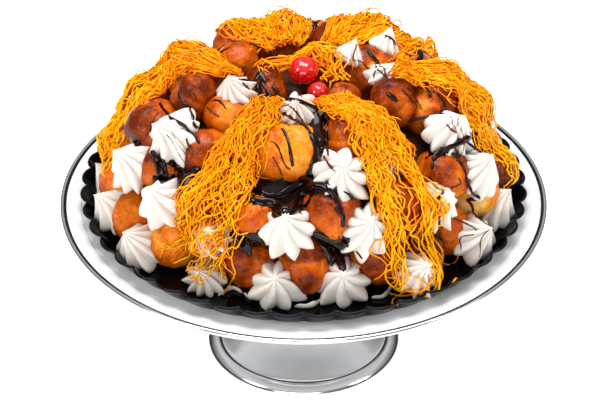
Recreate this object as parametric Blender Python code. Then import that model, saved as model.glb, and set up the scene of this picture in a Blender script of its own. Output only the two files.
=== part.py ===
"""Croquembouche built low and wide: a dome of filled choux puffs and piped cream rosettes,
draped with hanks of egg threads and topped with a cherry, on a scalloped black tray that
stands on a polished steel cake stand.

Frame: metres, +Z up, origin on the floor in the middle of the stand's foot. -Y is the front.
Lengths in the layout tables are millimetres, angles are degrees anticlockwise from +X.
"""
import math
import random

import bmesh
import bpy
from mathutils import Matrix, Vector
from mathutils.bvhtree import BVHTree

# ------------------------------------------------------------------ driving dimensions
MM = 0.001
PLATE_R = 175.0          # steel plate, outer radius at the rolled rim
PLATE_TOP = 124.7        # height of the plate's flat
PLATE_T = 1.2            # sheet thickness
RIM_BEAD = 1.7           # radius of the rolled rim
FOOT_R = 71.4            # spun foot, outer radius on the floor
NECK_R = 15.0            # narrowest point of the foot's trumpet
TRAY_BOTTOM = 125.0      # the tray lies on the plate with a hair of clearance
TRAY_T = 1.0
TRAY_R = 160.5           # tips of the scallops
TRAY_FLOOR_R = 148.5
TRAY_WALL = 11.5         # height of the scalloped wall above the tray floor
SCALLOPS = 44
SCALLOP_DEPTH = 4.2
FLOOR = TRAY_BOTTOM + TRAY_T      # height the food stands on
GAP = 0.3                # clearance kept between neighbouring solids
HEAP_AX = 129.0          # half width of the heap, measured to the puffs' centres
HEAP_AY = 115.0          # half depth
HEAP_H = 97.0            # height of the highest puffs' centres
HEAP_POWER = 2.6         # 2 would be an ellipsoid, more is boxier
CHERRY_R = 10.6
THREAD_T = 9.0           # thickness of a hank of egg threads

for obj in list(bpy.data.objects):
    bpy.data.objects.remove(obj, do_unlink=True)


# ------------------------------------------------------------------ materials
def material(name, colour, rough, metal=0.0):
    mat = bpy.data.materials.new(name)
    mat.use_nodes = True
    bsdf = mat.node_tree.nodes["Principled BSDF"]
    bsdf.inputs["Base Color"].default_value = (*colour, 1.0)
    bsdf.inputs["Roughness"].default_value = rough
    bsdf.inputs["Metallic"].default_value = metal
    return mat


CHOUX = material("golden_choux", (0.62, 0.24, 0.045), 0.38)
CREAM = material("whipped_cream", (0.88, 0.84, 0.79), 0.45)
THREADS = material("egg_threads", (1.0, 0.42, 0.01), 0.35)
CHERRY = material("glace_cherry", (0.55, 0.0, 0.01), 0.12)
PLASTIC = material("black_plastic", (0.012, 0.012, 0.014), 0.18)
STEEL = material("polished_steel", (0.78, 0.78, 0.80), 0.08, 1.0)


def finish(name, bm, mat, centre=(0.0, 0.0, 0.0), smooth=40.0):
    """Turn a bmesh in millimetres, built round centre, into a named object in metres."""
    bmesh.ops.remove_doubles(bm, verts=bm.verts, dist=0.02)
    bmesh.ops.recalc_face_normals(bm, faces=bm.faces)
    mesh = bpy.data.meshes.new(name)
    bm.to_mesh(mesh)
    bm.free()
    mesh.transform(Matrix.Scale(MM, 4))
    mesh.shade_smooth()
    mesh.set_sharp_from_angle(angle=math.radians(smooth))
    obj = bpy.data.objects.new(name, mesh)
    obj.location = Vector(centre) * MM
    obj.data.materials.append(mat)
    bpy.context.collection.objects.link(obj)
    return obj


def lathe(profile, segments):
    """Spin a closed (radius, height) outline round the Z axis."""
    bm = bmesh.new()
    loop = [bm.verts.new((r, 0.0, z)) for r, z in profile]
    edges = [bm.edges.new((loop[i], loop[i + 1])) for i in range(len(loop) - 1)]
    if min(profile[0][0], profile[-1][0]) > 0.01:
        edges.append(bm.edges.new((loop[-1], loop[0])))
    bmesh.ops.spin(bm, geom=loop + edges, axis=(0, 0, 1), cent=(0, 0, 0), steps=segments,
                   angle=math.tau, use_merge=True)
    bmesh.ops.remove_doubles(bm, verts=bm.verts, dist=0.005)
    return bm


# ------------------------------------------------------------------ the cake stand
def arc(cr, cz, radius, start, end, steps):
    """Points on an arc in the (radius, height) plane."""
    points = []
    for i in range(steps + 1):
        a = math.radians(start + (end - start) * i / steps)
        points.append((cr + radius * math.cos(a), cz + radius * math.sin(a)))
    return points


def stand_plate():
    top = PLATE_TOP
    under = top - PLATE_T
    rise = 2.2
    bead_r = PLATE_R - RIM_BEAD
    bead_z = top + rise - RIM_BEAD + 0.6
    outline = [(0.0, under), (150.0, under), (166.0, under + 0.9)]
    outline += arc(bead_r, bead_z, RIM_BEAD, -120, 120, 3)
    outline += [(165.0, top + 1.0), (150.0, top), (0.0, top)]
    return finish("stand_plate", lathe(outline, 44), STEEL)


def stand_foot():
    """A spun trumpet: a rounded rim on the floor, a shallow ledge and a cone up to the plate.
    A disc closes it underneath, set in so that it rests on its rim."""
    under = PLATE_TOP - PLATE_T - GAP
    outline = [(0.0, 1.0), (FOOT_R - 9.0, 1.0), (FOOT_R - 8.0, 0.0), (FOOT_R - 1.4, 0.0),
               (FOOT_R, 1.4), (FOOT_R - 2.4, 4.6), (FOOT_R - 6.5, 6.0), (FOOT_R - 10.0, 5.2),
               (FOOT_R - 15.0, 7.4), (42.0, 15.5), (25.0, 32.0), (NECK_R + 1.0, 56.0),
               (NECK_R, 80.0), (NECK_R + 5.0, 104.0), (36.0, under - 2.4), (45.0, under),
               (0.0, under)]
    return finish("stand_foot", lathe(outline, 28), STEEL)


# ------------------------------------------------------------------ the scalloped tray
def scallop(angle):
    """0 at the tip of a flute, 1 at the crease between two flutes."""
    phase = (angle * SCALLOPS / math.tau) % 1.0
    return abs(2.0 * phase - 1.0) ** 3.0


def tray():
    t = TRAY_T
    f = FLOOR
    rings = [  # tip radius, height, share of the scallop's depth
        (0.0, f, 0.0), (TRAY_FLOOR_R, f, 0.15), (TRAY_R - 1.8, f + TRAY_WALL, 1.0),
        (TRAY_R, f + TRAY_WALL - 1.2, 1.0),
        (TRAY_FLOOR_R + 1.4, f - t, 0.15), (0.0, f - t, 0.0)]
    steps = SCALLOPS * 3
    bm = bmesh.new()
    rows = []
    for radius, z, share in rings:
        if radius == 0.0:
            rows.append([bm.verts.new((0.0, 0.0, z))])
            continue
        row = []
        for i in range(steps):
            a = math.tau * i / steps
            r = radius - SCALLOP_DEPTH * share * scallop(a)
            row.append(bm.verts.new((r * math.cos(a), r * math.sin(a), z)))
        rows.append(row)
    for lower, upper in zip(rows, rows[1:]):
        for i in range(steps):
            j = (i + 1) % steps
            if len(lower) == 1:
                bm.faces.new((lower[0], upper[i], upper[j]))
            elif len(upper) == 1:
                bm.faces.new((lower[i], upper[0], lower[j]))
            else:
                bm.faces.new((lower[i], upper[i], upper[j], lower[j]))
    return finish("tray", bm, PLASTIC, smooth=50.0)


# ------------------------------------------------------------------ the heap's layout
# Every piece sits on one dome. Entries: azimuth, climb up the dome (0 at the tray, 90 at the
# crown), diameter.
PUFFS = {
    "low": [(186, 8, 37), (202, 5, 37), (221, 9, 42), (252, 7, 40), (270, 9, 42), (295, 9, 42),
            (311, 5, 37), (326, 5, 38), (341, 9, 37), (357, 11, 38)],
    "mid": [(210, 31, 38), (230, 25, 38), (252, 27, 38), (280, 28, 43), (306, 27, 37),
            (331, 28, 40)],
    "high": [(194, 47, 43), (215, 50, 36), (352, 54, 38), (174, 61, 38)],
    "top": [(189, 60, 34), (206, 65, 34), (261, 58, 45), (296, 62, 38), (346, 65, 34),
            (27, 72, 36), (102, 61, 36), (123, 50, 37), (72, 60, 36)],
}
ROSETTES = {
    "low": [(196, 5, 35), (216, 4, 40), (261, 5, 40), (283, 5, 42), (328, 5, 36), (347, 4, 37),
            (180, 5, 28)],
    "mid": [(203, 28, 38), (220, 24, 37), (265, 25, 41), (289, 23, 39), (317, 23, 33),
            (337, 25, 37)],
    "high": [(212, 47, 40), (285, 44, 42), (339, 43, 38)],
    "top": [(208, 72, 28), (263, 73, 32), (355, 72, 26)],
}
# Puffs at the back and under the crown are joined to the heart of the heap.
JOINED_PUFFS = [(195, 82, 34), (315, 80, 34), (65, 82, 34)]
for step in range(9):
    JOINED_PUFFS.append((15 + 18 * step, 8, 38))
for step in range(8):
    JOINED_PUFFS.append((19 + 20 * step, 28, 42))
for azimuth in (19, 50, 92, 150):
    JOINED_PUFFS.append((azimuth, 46, 40))
JOINED_PUFFS.append((148, 67, 34))
CHERRY_AT = (0.0, 0.0, FLOOR + 107.0)
HALF_CHERRY = (300, 20, 100)      # a second cherry sunk between the threads
# Rosettes sit in the dimples, further out than the puffs, and stand up rather than out.
ROSETTE_OUT = {"low": 9.0, "mid": 12.5, "high": 13.0, "top": 12.0}
ROSETTE_LEAN = 50.0               # least angle of a rosette's axis above the horizontal


def on_dome(azimuth, climb, stand_off):
    """Centre of a piece on the heap's dome."""
    a = math.radians(azimuth)
    c = math.radians(climb)
    ax = HEAP_AX + stand_off
    ay = HEAP_AY + stand_off
    ring = math.cos(c) ** (2.0 / HEAP_POWER)
    ring /= math.sqrt((math.cos(a) / ax) ** 2 + (math.sin(a) / ay) ** 2)
    height = (HEAP_H + stand_off * 0.85) * math.sin(c) ** (2.0 / HEAP_POWER)
    return Vector((ring * math.cos(a), ring * math.sin(a), FLOOR + height))


def outward(p):
    """Direction square to the heap's dome at a point."""
    z = max(p.z - FLOOR, 4.0)
    n = Vector((p.x / HEAP_AX ** 2, p.y / HEAP_AY ** 2, 0.55 * z / HEAP_H ** 2))
    return n.normalized()


pieces = []       # name, kind, centre, radius, direction the piece faces
for row, entries in PUFFS.items():
    for i, (azimuth, climb, size) in enumerate(entries):
        c = on_dome(azimuth, climb, 0.0)
        pieces.append([f"puff_{row}_{i + 1:02d}", "puff", c, size / 2.0, outward(c)])
for row, entries in ROSETTES.items():
    for i, (azimuth, climb, size) in enumerate(entries):
        c = on_dome(azimuth, climb, ROSETTE_OUT[row])
        pieces.append([f"rosette_{row}_{i + 1:02d}", "rosette", c, size / 2.0, outward(c)])
for azimuth, climb, size in JOINED_PUFFS:
    c = on_dome(azimuth, climb, -2.0)
    pieces.append(["", "puff", c, size / 2.0, outward(c)])


def reach(piece):
    """Radius a piece takes up among its neighbours."""
    return piece[3] if piece[1] == "puff" else piece[3] * 0.80


def settle(rounds=40, touch=0.90):
    """Push pieces that sink into one another apart, as a hand-built heap settles."""
    home = [p[2].copy() for p in pieces]
    for _ in range(rounds):
        for i, a in enumerate(pieces):
            for b in pieces[i + 1:]:
                apart = b[2] - a[2]
                want = touch * (reach(a) + reach(b))
                if a[1] != b[1]:
                    want *= 0.86
                d = apart.length
                if 1e-6 < d < want:
                    move = apart * (0.25 * (want - d) / d)
                    a[2] -= move
                    b[2] += move
        for p, h in zip(pieces, home):
            p[2] += (h - p[2]) * 0.12
            p[2].z = max(p[2].z, FLOOR + 0.80 * reach(p))


settle()
for number, p in enumerate(pieces):
    p[4] = outward(p[2])
    if p[1] == "rosette":
        lean = random.Random(40 + number).uniform(-7.0, 7.0)
        steep = max(math.degrees(math.asin(p[4].z)), ROSETTE_LEAN + lean)
        flat = Vector((p[4].x, p[4].y, 0.0)).normalized()
        p[4] = flat * math.cos(math.radians(steep))
        p[4].z = math.sin(math.radians(steep))


# ------------------------------------------------------------------ shapes of the pieces
def puff_radius(d, seed, size):
    """Baked choux: a slightly flattened ball with broad lobes where it burst and rose."""
    rnd = random.Random(seed)
    r = 1.0
    for k in range(4):
        axis = Vector((rnd.uniform(-1, 1), rnd.uniform(-1, 1), rnd.uniform(-1, 1))).normalized()
        r += rnd.uniform(0.03, 0.07) * math.sin(2.2 * d.dot(axis) * math.pi + rnd.uniform(0, 6))
    return size * r * (1.0 - 0.07 * abs(d.z))


def puff_body(piece, seed):
    bm = bmesh.new()
    around, up = (9, 5) if piece[0] else (6, 4)
    bmesh.ops.create_uvsphere(bm, u_segments=around, v_segments=up, radius=1.0)
    turn = Matrix.Rotation(random.Random(seed).uniform(0, 3), 3, "Z")
    for v in bm.verts:
        d = (turn @ v.co).normalized()
        v.co = d * puff_radius(d, seed, piece[3] * 1.04)
    return bm


ROSETTE_PROFILE = [(0.62, -0.50), (1.00, -0.10), (0.72, 0.36)]   # ring radius, height / radius
ROSETTE_APEX = 1.02
ROSETTE_LOBES = 8


def rosette_body(piece, seed):
    """Piped star rosette: a fluted cone pulled up to a point along the way it faces."""
    rnd = random.Random(seed)
    size = piece[3]
    bm = bmesh.new()
    segments = ROSETTE_LOBES * 2
    rows = []
    spin = rnd.uniform(0, math.tau)
    for k, (radius, height) in enumerate(ROSETTE_PROFILE):
        row = []
        for i in range(segments):
            a = spin + math.tau * i / segments + 0.16 * k
            flute = (1.08 if i % 2 else 0.80) * rnd.uniform(0.95, 1.05)
            r = size * radius * flute
            row.append(bm.verts.new((r * math.cos(a), r * math.sin(a), size * height)))
        rows.append(row)
    low = bm.verts.new((0, 0, -size * 0.62))
    tip = bm.verts.new((size * rnd.uniform(-0.1, 0.1), size * rnd.uniform(-0.1, 0.1),
                        size * ROSETTE_APEX))
    for i in range(segments):
        j = (i + 1) % segments
        bm.faces.new((low, rows[0][j], rows[0][i]))
        for k in range(len(rows) - 1):
            bm.faces.new((rows[k][i], rows[k][j], rows[k + 1][j], rows[k + 1][i]))
        bm.faces.new((rows[-1][i], rows[-1][j], tip))
    turn = piece[4].to_track_quat("Z", "Y").to_matrix()
    for v in bm.verts:
        v.co = turn @ v.co
    return bm


def inside_tray(p):
    """True where a point clears the tray's floor and sloping wall."""
    z = p.z - FLOOR
    if z < GAP:
        return False
    return math.hypot(p.x, p.y) < TRAY_FLOOR_R - 2.4 + 0.78 * min(z, 14.0)


def press(bm, index):
    """Flatten a piece where it is pressed on its neighbours, the tray and the cherries."""
    centre = pieces[index][2]
    mine = reach(pieces[index])
    planes = []
    for j, other in enumerate(pieces):
        if j == index or not (other[0] or pieces[index][0]):
            continue
        apart = other[2] - centre
        d = apart.length
        if d > 2.6 * (mine + reach(other)):
            continue
        cut = (d * d + mine * mine - reach(other) ** 2) / (2.0 * d)
        planes.append((apart / d, max(cut, 0.22 * d) - 0.5 * GAP - 0.05))
    for c, r in CHERRIES:
        apart = c - centre
        planes.append((apart.normalized(), apart.length - r - GAP))
    for v in bm.verts:
        share = 1.0
        for normal, limit in planes:
            along = v.co.dot(normal)
            if along > limit:
                share = min(share, limit / along)
        v.co *= share
        if not inside_tray(centre + v.co):
            low, high = 0.0, 1.0
            for _ in range(14):
                half = 0.5 * (low + high)
                if inside_tray(centre + v.co * half):
                    low = half
                else:
                    high = half
            v.co *= low
    return bm


def polar(azimuth, distance, height):
    a = math.radians(azimuth)
    return Vector((distance * math.cos(a), distance * math.sin(a), FLOOR + height))


CHERRIES = [(Vector(CHERRY_AT), CHERRY_R), (polar(*HALF_CHERRY), CHERRY_R * 0.72)]
shown = []        # (kind, bmesh world-space tree) of the named pieces
joined = []
for index, piece in enumerate(pieces):
    build = puff_body if piece[1] == "puff" else rosette_body
    bm = press(build(piece, 100 + index), index)
    tree_mesh = bm.copy()
    bmesh.ops.translate(tree_mesh, verts=tree_mesh.verts, vec=piece[2])
    if piece[0]:
        shown.append(tree_mesh)
        finish(piece[0], bm, CHOUX if piece[1] == "puff" else CREAM, piece[2])
    else:
        joined.append(tree_mesh)
        bm.free()


def one_tree(meshes):
    """One ray-cast tree over several bmeshes."""
    verts = []
    faces = []
    for bm in meshes:
        start = len(verts)
        bm.verts.index_update()
        verts += [v.co.copy() for v in bm.verts]
        faces += [[start + v.index for v in f.verts] for f in bm.faces]
    return BVHTree.FromPolygons(verts, faces)


shown_tree = one_tree(shown)
HEART = Vector((0.0, 0.0, FLOOR + 15.0))


def direction(azimuth, elevation):
    a = math.radians(azimuth)
    e = math.radians(elevation)
    return Vector((math.cos(e) * math.cos(a), math.cos(e) * math.sin(a), math.sin(e)))


def first_hit(tree, d):
    hit = tree.ray_cast(HEART, d)
    return hit[3] if hit[0] is not None else 1e9


# ------------------------------------------------------------------ the heart of the heap
HEART_AROUND = 24
HEART_UP = 6


def heart_limit(azimuth, elevation):
    """How far the heart may reach: inside the dome, and behind every named piece."""
    near = 1e9
    for da in range(-13, 14, 2):
        for de in range(-16, 17, 3):
            tilt = min(90.0, max(-6.0, elevation + de))
            spread = da / max(0.2, math.cos(math.radians(min(elevation, 80.0))))
            near = min(near, first_hit(shown_tree, direction(azimuth + spread, tilt)))
    d = direction(azimuth, elevation)
    flat = math.hypot(d.x / (HEAP_AX - 6.0), d.y / (HEAP_AY - 6.0))
    base = 1.0 / (flat ** 2.4 + (d.z / (HEAP_H - 23.0)) ** 2.4) ** (1.0 / 2.4)
    return min(base, near - 0.9)


def heart_core():
    """Bmesh of the plain inner dome that the joined puffs grow from."""
    grid = []
    for k in range(HEART_UP):
        elevation = 78.0 * k / (HEART_UP - 1)
        grid.append([heart_limit(360.0 * i / HEART_AROUND, elevation)
                     for i in range(HEART_AROUND)])
    bm = bmesh.new()
    rows = []
    for k in range(HEART_UP):
        row = []
        for i in range(HEART_AROUND):
            sides = grid[k][i - 1] + grid[k][(i + 1) % HEART_AROUND] + 2.0 * grid[k][i]
            r = min(grid[k][i], sides / 4.0)
            d = direction(360.0 * i / HEART_AROUND, 78.0 * k / (HEART_UP - 1))
            row.append(HEART + d * r)
        rows.append(row)
    rows.insert(0, [Vector((p.x * 0.93, p.y * 0.93, FLOOR + GAP)) for p in rows[0]])
    made = [[bm.verts.new(p) for p in row] for row in rows]
    top = bm.verts.new((0.0, 0.0, HEART.z + min(grid[-1])))
    base = bm.verts.new((0.0, 0.0, FLOOR + GAP))
    for i in range(HEART_AROUND):
        j = (i + 1) % HEART_AROUND
        bm.faces.new((base, made[0][j], made[0][i]))
        for lower, upper in zip(made, made[1:]):
            bm.faces.new((lower[i], lower[j], upper[j], upper[i]))
        bm.faces.new((made[-1][i], made[-1][j], top))
    return bm


heart_bm = heart_core()
solid_food = shown + joined + [heart_bm.copy()]
heart = finish("heap_heart", heart_bm, CHOUX, smooth=50.0)
backers = bpy.data.collections.new("joined_puffs")
bpy.context.scene.collection.children.link(backers)
for number, bm in enumerate(joined):
    puff = finish(f"joined_{number:02d}", bm.copy(), CHOUX)
    bpy.context.collection.objects.unlink(puff)
    backers.objects.link(puff)
    puff.hide_render = True
    puff.display_type = "WIRE"
join = heart.modifiers.new("join", "BOOLEAN")
join.operation = "UNION"
join.operand_type = "COLLECTION"
join.collection = backers
join.solver = "EXACT"


# ------------------------------------------------------------------ hanks of egg threads
# Centre line from the crown to the tray: azimuth, elevation seen from HUB, half width.
HUB = Vector((0.0, 0.0, FLOOR + 20.0))
HANKS = {
    "hank_front_left": [(241, 61, 12), (240, 50, 15), (240, 36, 18), (239, 23, 19),
                        (238, 10, 20), (236, -3, 20)],
    "hank_front_right": [(297, 64, 14), (307, 53, 18), (308, 41, 21), (305, 28, 21),
                         (304, 12, 20), (303, -4, 19)],
    "hank_right": [(-4, 57, 13), (4, 47, 19), (7, 35, 24), (6, 23, 24), (2, 12, 21),
                   (-1, 2, 15)],
    "hank_back_right": [(57, 64, 14), (55, 52, 26), (54, 39, 30), (54, 26, 29), (55, 10, 25),
                        (55, -3, 20)],
    "hank_back_left": [(108, 64, 14), (108, 52, 27), (110, 40, 30), (112, 26, 26),
                       (114, 11, 22), (114, -3, 18)],
    "hank_left": [(193, 63, 12), (178, 52, 19), (169, 40, 25), (170, 28, 25), (176, 16, 20),
                  (180, 6, 15)],
}
HANK_LONG = 11
HANK_ACROSS = 5


def along(points, t):
    """Smooth value along control points, t from 0 to 1."""
    x = t * (len(points) - 1)
    i = min(int(x), len(points) - 2)
    u = x - i
    u = u * u * (3.0 - 2.0 * u) * 0.5 + u * 0.5
    return [a + (b - a) * u for a, b in zip(points[i], points[i + 1])]


def hank_place(points, t, s):
    """Azimuth and elevation at t down the hank and s (-1 to 1) across it."""
    azimuth, elevation, half = along(points, t)
    level = max(34.0, 132.0 * math.cos(math.radians(elevation)))
    return azimuth + math.degrees(s * half / level), elevation


CORNERS = []      # direction from the hub and reach of every corner of the food
for bm in solid_food:
    for v in bm.verts:
        CORNERS.append(((v.co - HUB).normalized(), (v.co - HUB).length))


def hank_floor(points, t, s):
    """Greatest reach of everything under this spot and just round it."""
    azimuth, elevation = hank_place(points, t, s)
    centre = direction(azimuth, elevation)
    near = math.cos(math.radians(7.6))
    flat = math.hypot(centre.x / (HEAP_AX + 14.0), centre.y / (HEAP_AY + 14.0))
    plain = 1.0 / (flat ** 2.4 + (abs(centre.z) / (HEAP_H - 4.0)) ** 2.4) ** (1.0 / 2.4)
    return max([plain - 8.0] + [length for d, length in CORNERS if d.dot(centre) > near])


def hank(name, points, seed):
    rnd = random.Random(seed)
    bm = bmesh.new()
    under = []
    over = []
    for k in range(HANK_LONG):
        t = k / (HANK_LONG - 1)
        low_row = []
        high_row = []
        for m in range(HANK_ACROSS):
            s = 2.0 * m / (HANK_ACROSS - 1) - 1.0
            azimuth, elevation = hank_place(points, t, s)
            d = direction(azimuth, elevation)
            r = hank_floor(points, t, s) + 0.9
            edge = 1.0 - 0.45 * abs(s) ** 3
            thick = THREAD_T * edge * (1.0 - 0.45 * t ** 3)
            thick *= rnd.uniform(0.85, 1.15)
            p = HUB + d * r
            q = HUB + d * (r + thick)
            low_row.append(p)
            high_row.append(q)
        under.append(low_row)
        over.append(high_row)
    below = [[bm.verts.new(p) for p in row] for row in under]
    above = [[bm.verts.new(p) for p in row] for row in over]
    for k in range(HANK_LONG - 1):
        for m in range(HANK_ACROSS - 1):
            bm.faces.new((above[k][m], above[k][m + 1], above[k + 1][m + 1], above[k + 1][m]))
            bm.faces.new((below[k][m], below[k + 1][m], below[k + 1][m + 1], below[k][m + 1]))
        bm.faces.new((above[k][0], above[k + 1][0], below[k + 1][0], below[k][0]))
        bm.faces.new((above[k][-1], below[k][-1], below[k + 1][-1], above[k + 1][-1]))
    for m in range(HANK_ACROSS - 1):
        bm.faces.new((above[0][m], below[0][m], below[0][m + 1], above[0][m + 1]))
        bm.faces.new((above[-1][m], above[-1][m + 1], below[-1][m + 1], below[-1][m]))
    finish(name, bm, THREADS, smooth=60.0)


for number, (name, points) in enumerate(HANKS.items()):
    hank(name, points, 900 + number)


# ------------------------------------------------------------------ cherries
def cherry(name, centre, radius, squash):
    bm = bmesh.new()
    bmesh.ops.create_uvsphere(bm, u_segments=12, v_segments=6, radius=radius)
    for v in bm.verts:
        flat = 1.0 - 0.10 * math.exp(-((v.co.x ** 2 + v.co.y ** 2) / (0.16 * radius ** 2)))
        v.co.z *= squash * flat
    finish(name, bm, CHERRY, centre)


cherry("cherry_crown", CHERRIES[0][0], CHERRY_R, 0.98)
cherry("cherry_tucked", CHERRIES[1][0], CHERRY_R * 0.72, 0.9)

stand_plate()
stand_foot()
tray()
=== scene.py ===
# %% [markdown]
# # A croquembouche on its cake stand
#
# The solids of this cake are already built and packed: every choux puff, piped rosette, hank of egg
# threads, the tray and the stand has its place. This notebook gives them their looks. It starts by
# loading that fixed frame, and every piece made below takes its place and size from it.

# %% Load the fixed frame
import math

import bpy
import numpy as np
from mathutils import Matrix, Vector, noise
from mathutils.bvhtree import BVHTree
from mathutils.kdtree import KDTree


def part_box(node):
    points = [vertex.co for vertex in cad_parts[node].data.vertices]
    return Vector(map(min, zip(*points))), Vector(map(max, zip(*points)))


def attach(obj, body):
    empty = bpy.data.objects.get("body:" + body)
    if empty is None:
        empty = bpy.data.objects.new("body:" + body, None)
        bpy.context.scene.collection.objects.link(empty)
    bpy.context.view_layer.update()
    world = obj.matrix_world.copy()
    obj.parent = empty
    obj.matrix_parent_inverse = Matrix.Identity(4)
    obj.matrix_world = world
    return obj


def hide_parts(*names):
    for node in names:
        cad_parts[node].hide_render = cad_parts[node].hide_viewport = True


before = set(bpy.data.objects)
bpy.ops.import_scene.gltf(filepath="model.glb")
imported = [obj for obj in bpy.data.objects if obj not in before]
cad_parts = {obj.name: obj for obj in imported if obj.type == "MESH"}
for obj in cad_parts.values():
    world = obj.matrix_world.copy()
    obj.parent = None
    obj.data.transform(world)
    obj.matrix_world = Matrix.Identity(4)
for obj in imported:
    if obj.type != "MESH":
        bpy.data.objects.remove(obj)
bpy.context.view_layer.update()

MM = 0.001

# %% [markdown]
# ## The tools of this notebook
#
# Shapes are worked out as numpy arrays in millimetres, because one array sum moves ten thousand
# corners at once where a Python loop would take seconds. One function turns such arrays into a
# Blender mesh in metres, gives it its material and hides the imported solids that it stands for.
# A number for each corner, called tone, says how browned or how deep in a heap that spot is. The
# material reads it to blend its colours.

# %% Turn arrays into pieces
def in_scene(name, data):
    """A new object of the scene that shows this data."""
    thing = bpy.data.objects.new(name, data)
    bpy.context.scene.collection.objects.link(thing)
    return thing


def add_piece(name, corners, faces, material, stands_for=(), tone=None):
    """A smooth mesh piece from corners in mm. tone is one more value for each corner."""
    mesh = bpy.data.meshes.new(name)
    mesh.from_pydata((np.asarray(corners) * MM).tolist(), [], np.asarray(faces, dtype=object).tolist())
    mesh.shade_smooth()
    if tone is not None:
        mesh.attributes.new("tone", "FLOAT", "POINT").data.foreach_set("value", np.ravel(tone))
    mesh.materials.append(material)
    piece = in_scene(name, mesh)
    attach(piece, "root")
    if stands_for:
        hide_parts(*stands_for)


def corners_of(node):
    """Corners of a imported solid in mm."""
    return np.array([v.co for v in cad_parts[node].data.vertices]) / MM


def unit(v):
    v = np.asarray(v, float)
    return v / np.maximum(np.linalg.norm(v, axis=-1, keepdims=True), 1e-9)


def grid_quads(rows, columns, round_rows=False, round_columns=False):
    """Quads of a grid of corners. Each row, or each column, may close on itself."""
    k, i = np.meshgrid(np.arange(rows - (not round_columns)), np.arange(columns - (not round_rows)),
                       indexing="ij")
    a, b, j = k * columns, (k + 1) % rows * columns, (i + 1) % columns
    return np.stack([a + i, a + j, b + j, b + i], -1).reshape(-1, 4)


def joined(meshes):
    """Corners and faces of many meshes, given as pairs, joined in one."""
    corners, faces, start = [], [], 0
    for part, part_faces in meshes:
        corners.append(part)
        faces += [[start + i for i in face] for face in part_faces]
        start += len(part)
    return np.concatenate(corners), faces


# %% [markdown]
# ## Nodes and colours
#
# Colours are written as the sRGB hex codes that a paint chart gives, and one function turns them
# to the linear values that shaders work in. One small function adds a shader node with its
# settings, its input values and what feeds it. A feed is named by its socket, or by a node alone
# where the node's first output is meant.

# %% Colour and node helpers
def linear(code):
    """An sRGB hex code as linear red, green, blue and alpha."""
    parts = [int(code[i:i + 2], 16) / 255.0 for i in (1, 3, 5)]
    return [p / 12.92 if p <= 0.04045 else ((p + 0.055) / 1.055) ** 2.4 for p in parts] + [1.0]


def out_of(source):
    """The socket itself, or the first output of a node."""
    return getattr(source, "outputs", [source])[0]


def add_node(tree, kind, settings=None, inputs=None, links=None, stops=None):
    """Add a node with its settings, input values, links and, for a ramp, its colour stops."""
    node = tree.nodes.new(kind)
    for name, value in (settings or {}).items():
        setattr(node, name, value)
    for name, value in (inputs or {}).items():
        node.inputs[name].default_value = value
    for name, source in (links or {}).items():
        tree.links.new(out_of(source), node.inputs[name])
    for i, (place, code) in enumerate(stops or ()):
        ramp = node.color_ramp
        stop = ramp.elements[i] if i < len(ramp.elements) else ramp.elements.new(place)
        stop.position = place
        stop.color = linear(code)
    return node


def repeats(size):
    """Scale of a pattern whose features are this many mm apart: how often it repeats in a metre."""
    return 1.0 / (size * MM)


def span(to_min, to_max, from_min=0.3, from_max=0.7):
    """Input values that stretch the usual range of a noise to a range of the finish."""
    return {"From Min": from_min, "From Max": from_max, "To Min": to_min, "To Max": to_max}


def start_material(name, **surface):
    """A new material with its constant sockets set: its tree, shader and place on the object."""
    material = bpy.data.materials.new(name)
    material.use_nodes = True
    tree = material.node_tree
    shader = tree.nodes["Principled BSDF"]
    for socket, value in surface.items():
        shader.inputs[socket.replace("_", " ")].default_value = value
    return material, tree, shader, add_node(tree, "ShaderNodeTexCoord").outputs["Object"]


def feed(tree, shader, **sources):
    """Link nodes to the inputs of a material's shader."""
    for socket, source in sources.items():
        tree.links.new(out_of(source), shader.inputs[socket.replace("_", " ")])


# %% [markdown]
# ## The stand's polished steel
#
# The stand is stainless steel, spun on a lathe and polished. Polished metal has almost no colour of
# its own: it shows the white studio, and it turns dark only where it bends and mirrors something
# dark. The flat of the plate has been wiped and cut on for years, so it is satin, while the rim and
# the foot are mirrors. The underside and the curled edge of the rim are unpolished, and their darker
# grey is painted shade and dark reflection: the shadow under the plate that the foot mirrors, and
# the dark line along the lower edge of the rim. The near-black steel in the creases of the rim and
# the foot is a painted dark line for the shade and the dark reflections there. Metallic is 1, and
# the roughness goes from low on the mirrors to high on the worn plate. The spinning leaves rings a
# fraction of a millimetre apart. What shows from arm's length is only how their depth comes and
# goes, so rings 7.5 mm apart and very shallow are drawn for it.

# %% Spun and polished stainless steel
RING_SPACING = 7.54         # mm between the turning marks as drawn
RINGS_AT_1 = 20.0 / math.tau            # rings in a metre that the ring texture draws at scale 1
WIPE = 35.7                 # mm between the cloudy smears of a wiping cloth


def spun_steel(name, colour, roughness, mark_depth):
    material, tree, shader, where = start_material(name, Base_Color=linear(colour), Metallic=1.0)
    rings = add_node(tree, "ShaderNodeTexWave", {"wave_type": "RINGS", "rings_direction": "Z"},
                     {"Scale": repeats(RING_SPACING) / RINGS_AT_1, "Distortion": 0.6, "Detail": 2.0},
                     {"Vector": where})
    smears = add_node(tree, "ShaderNodeTexNoise", {}, {"Scale": repeats(WIPE), "Detail": 4.0},
                      {"Vector": where})
    spread = add_node(tree, "ShaderNodeMapRange", {}, span(roughness * 0.8, roughness * 1.3),
                      {"Value": smears})
    marks = add_node(tree, "ShaderNodeBump", {}, {"Strength": mark_depth, "Distance": 0.0001},
                     {"Height": rings.outputs["Fac"]})
    feed(tree, shader, Roughness=spread, Normal=marks)
    return material


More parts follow.
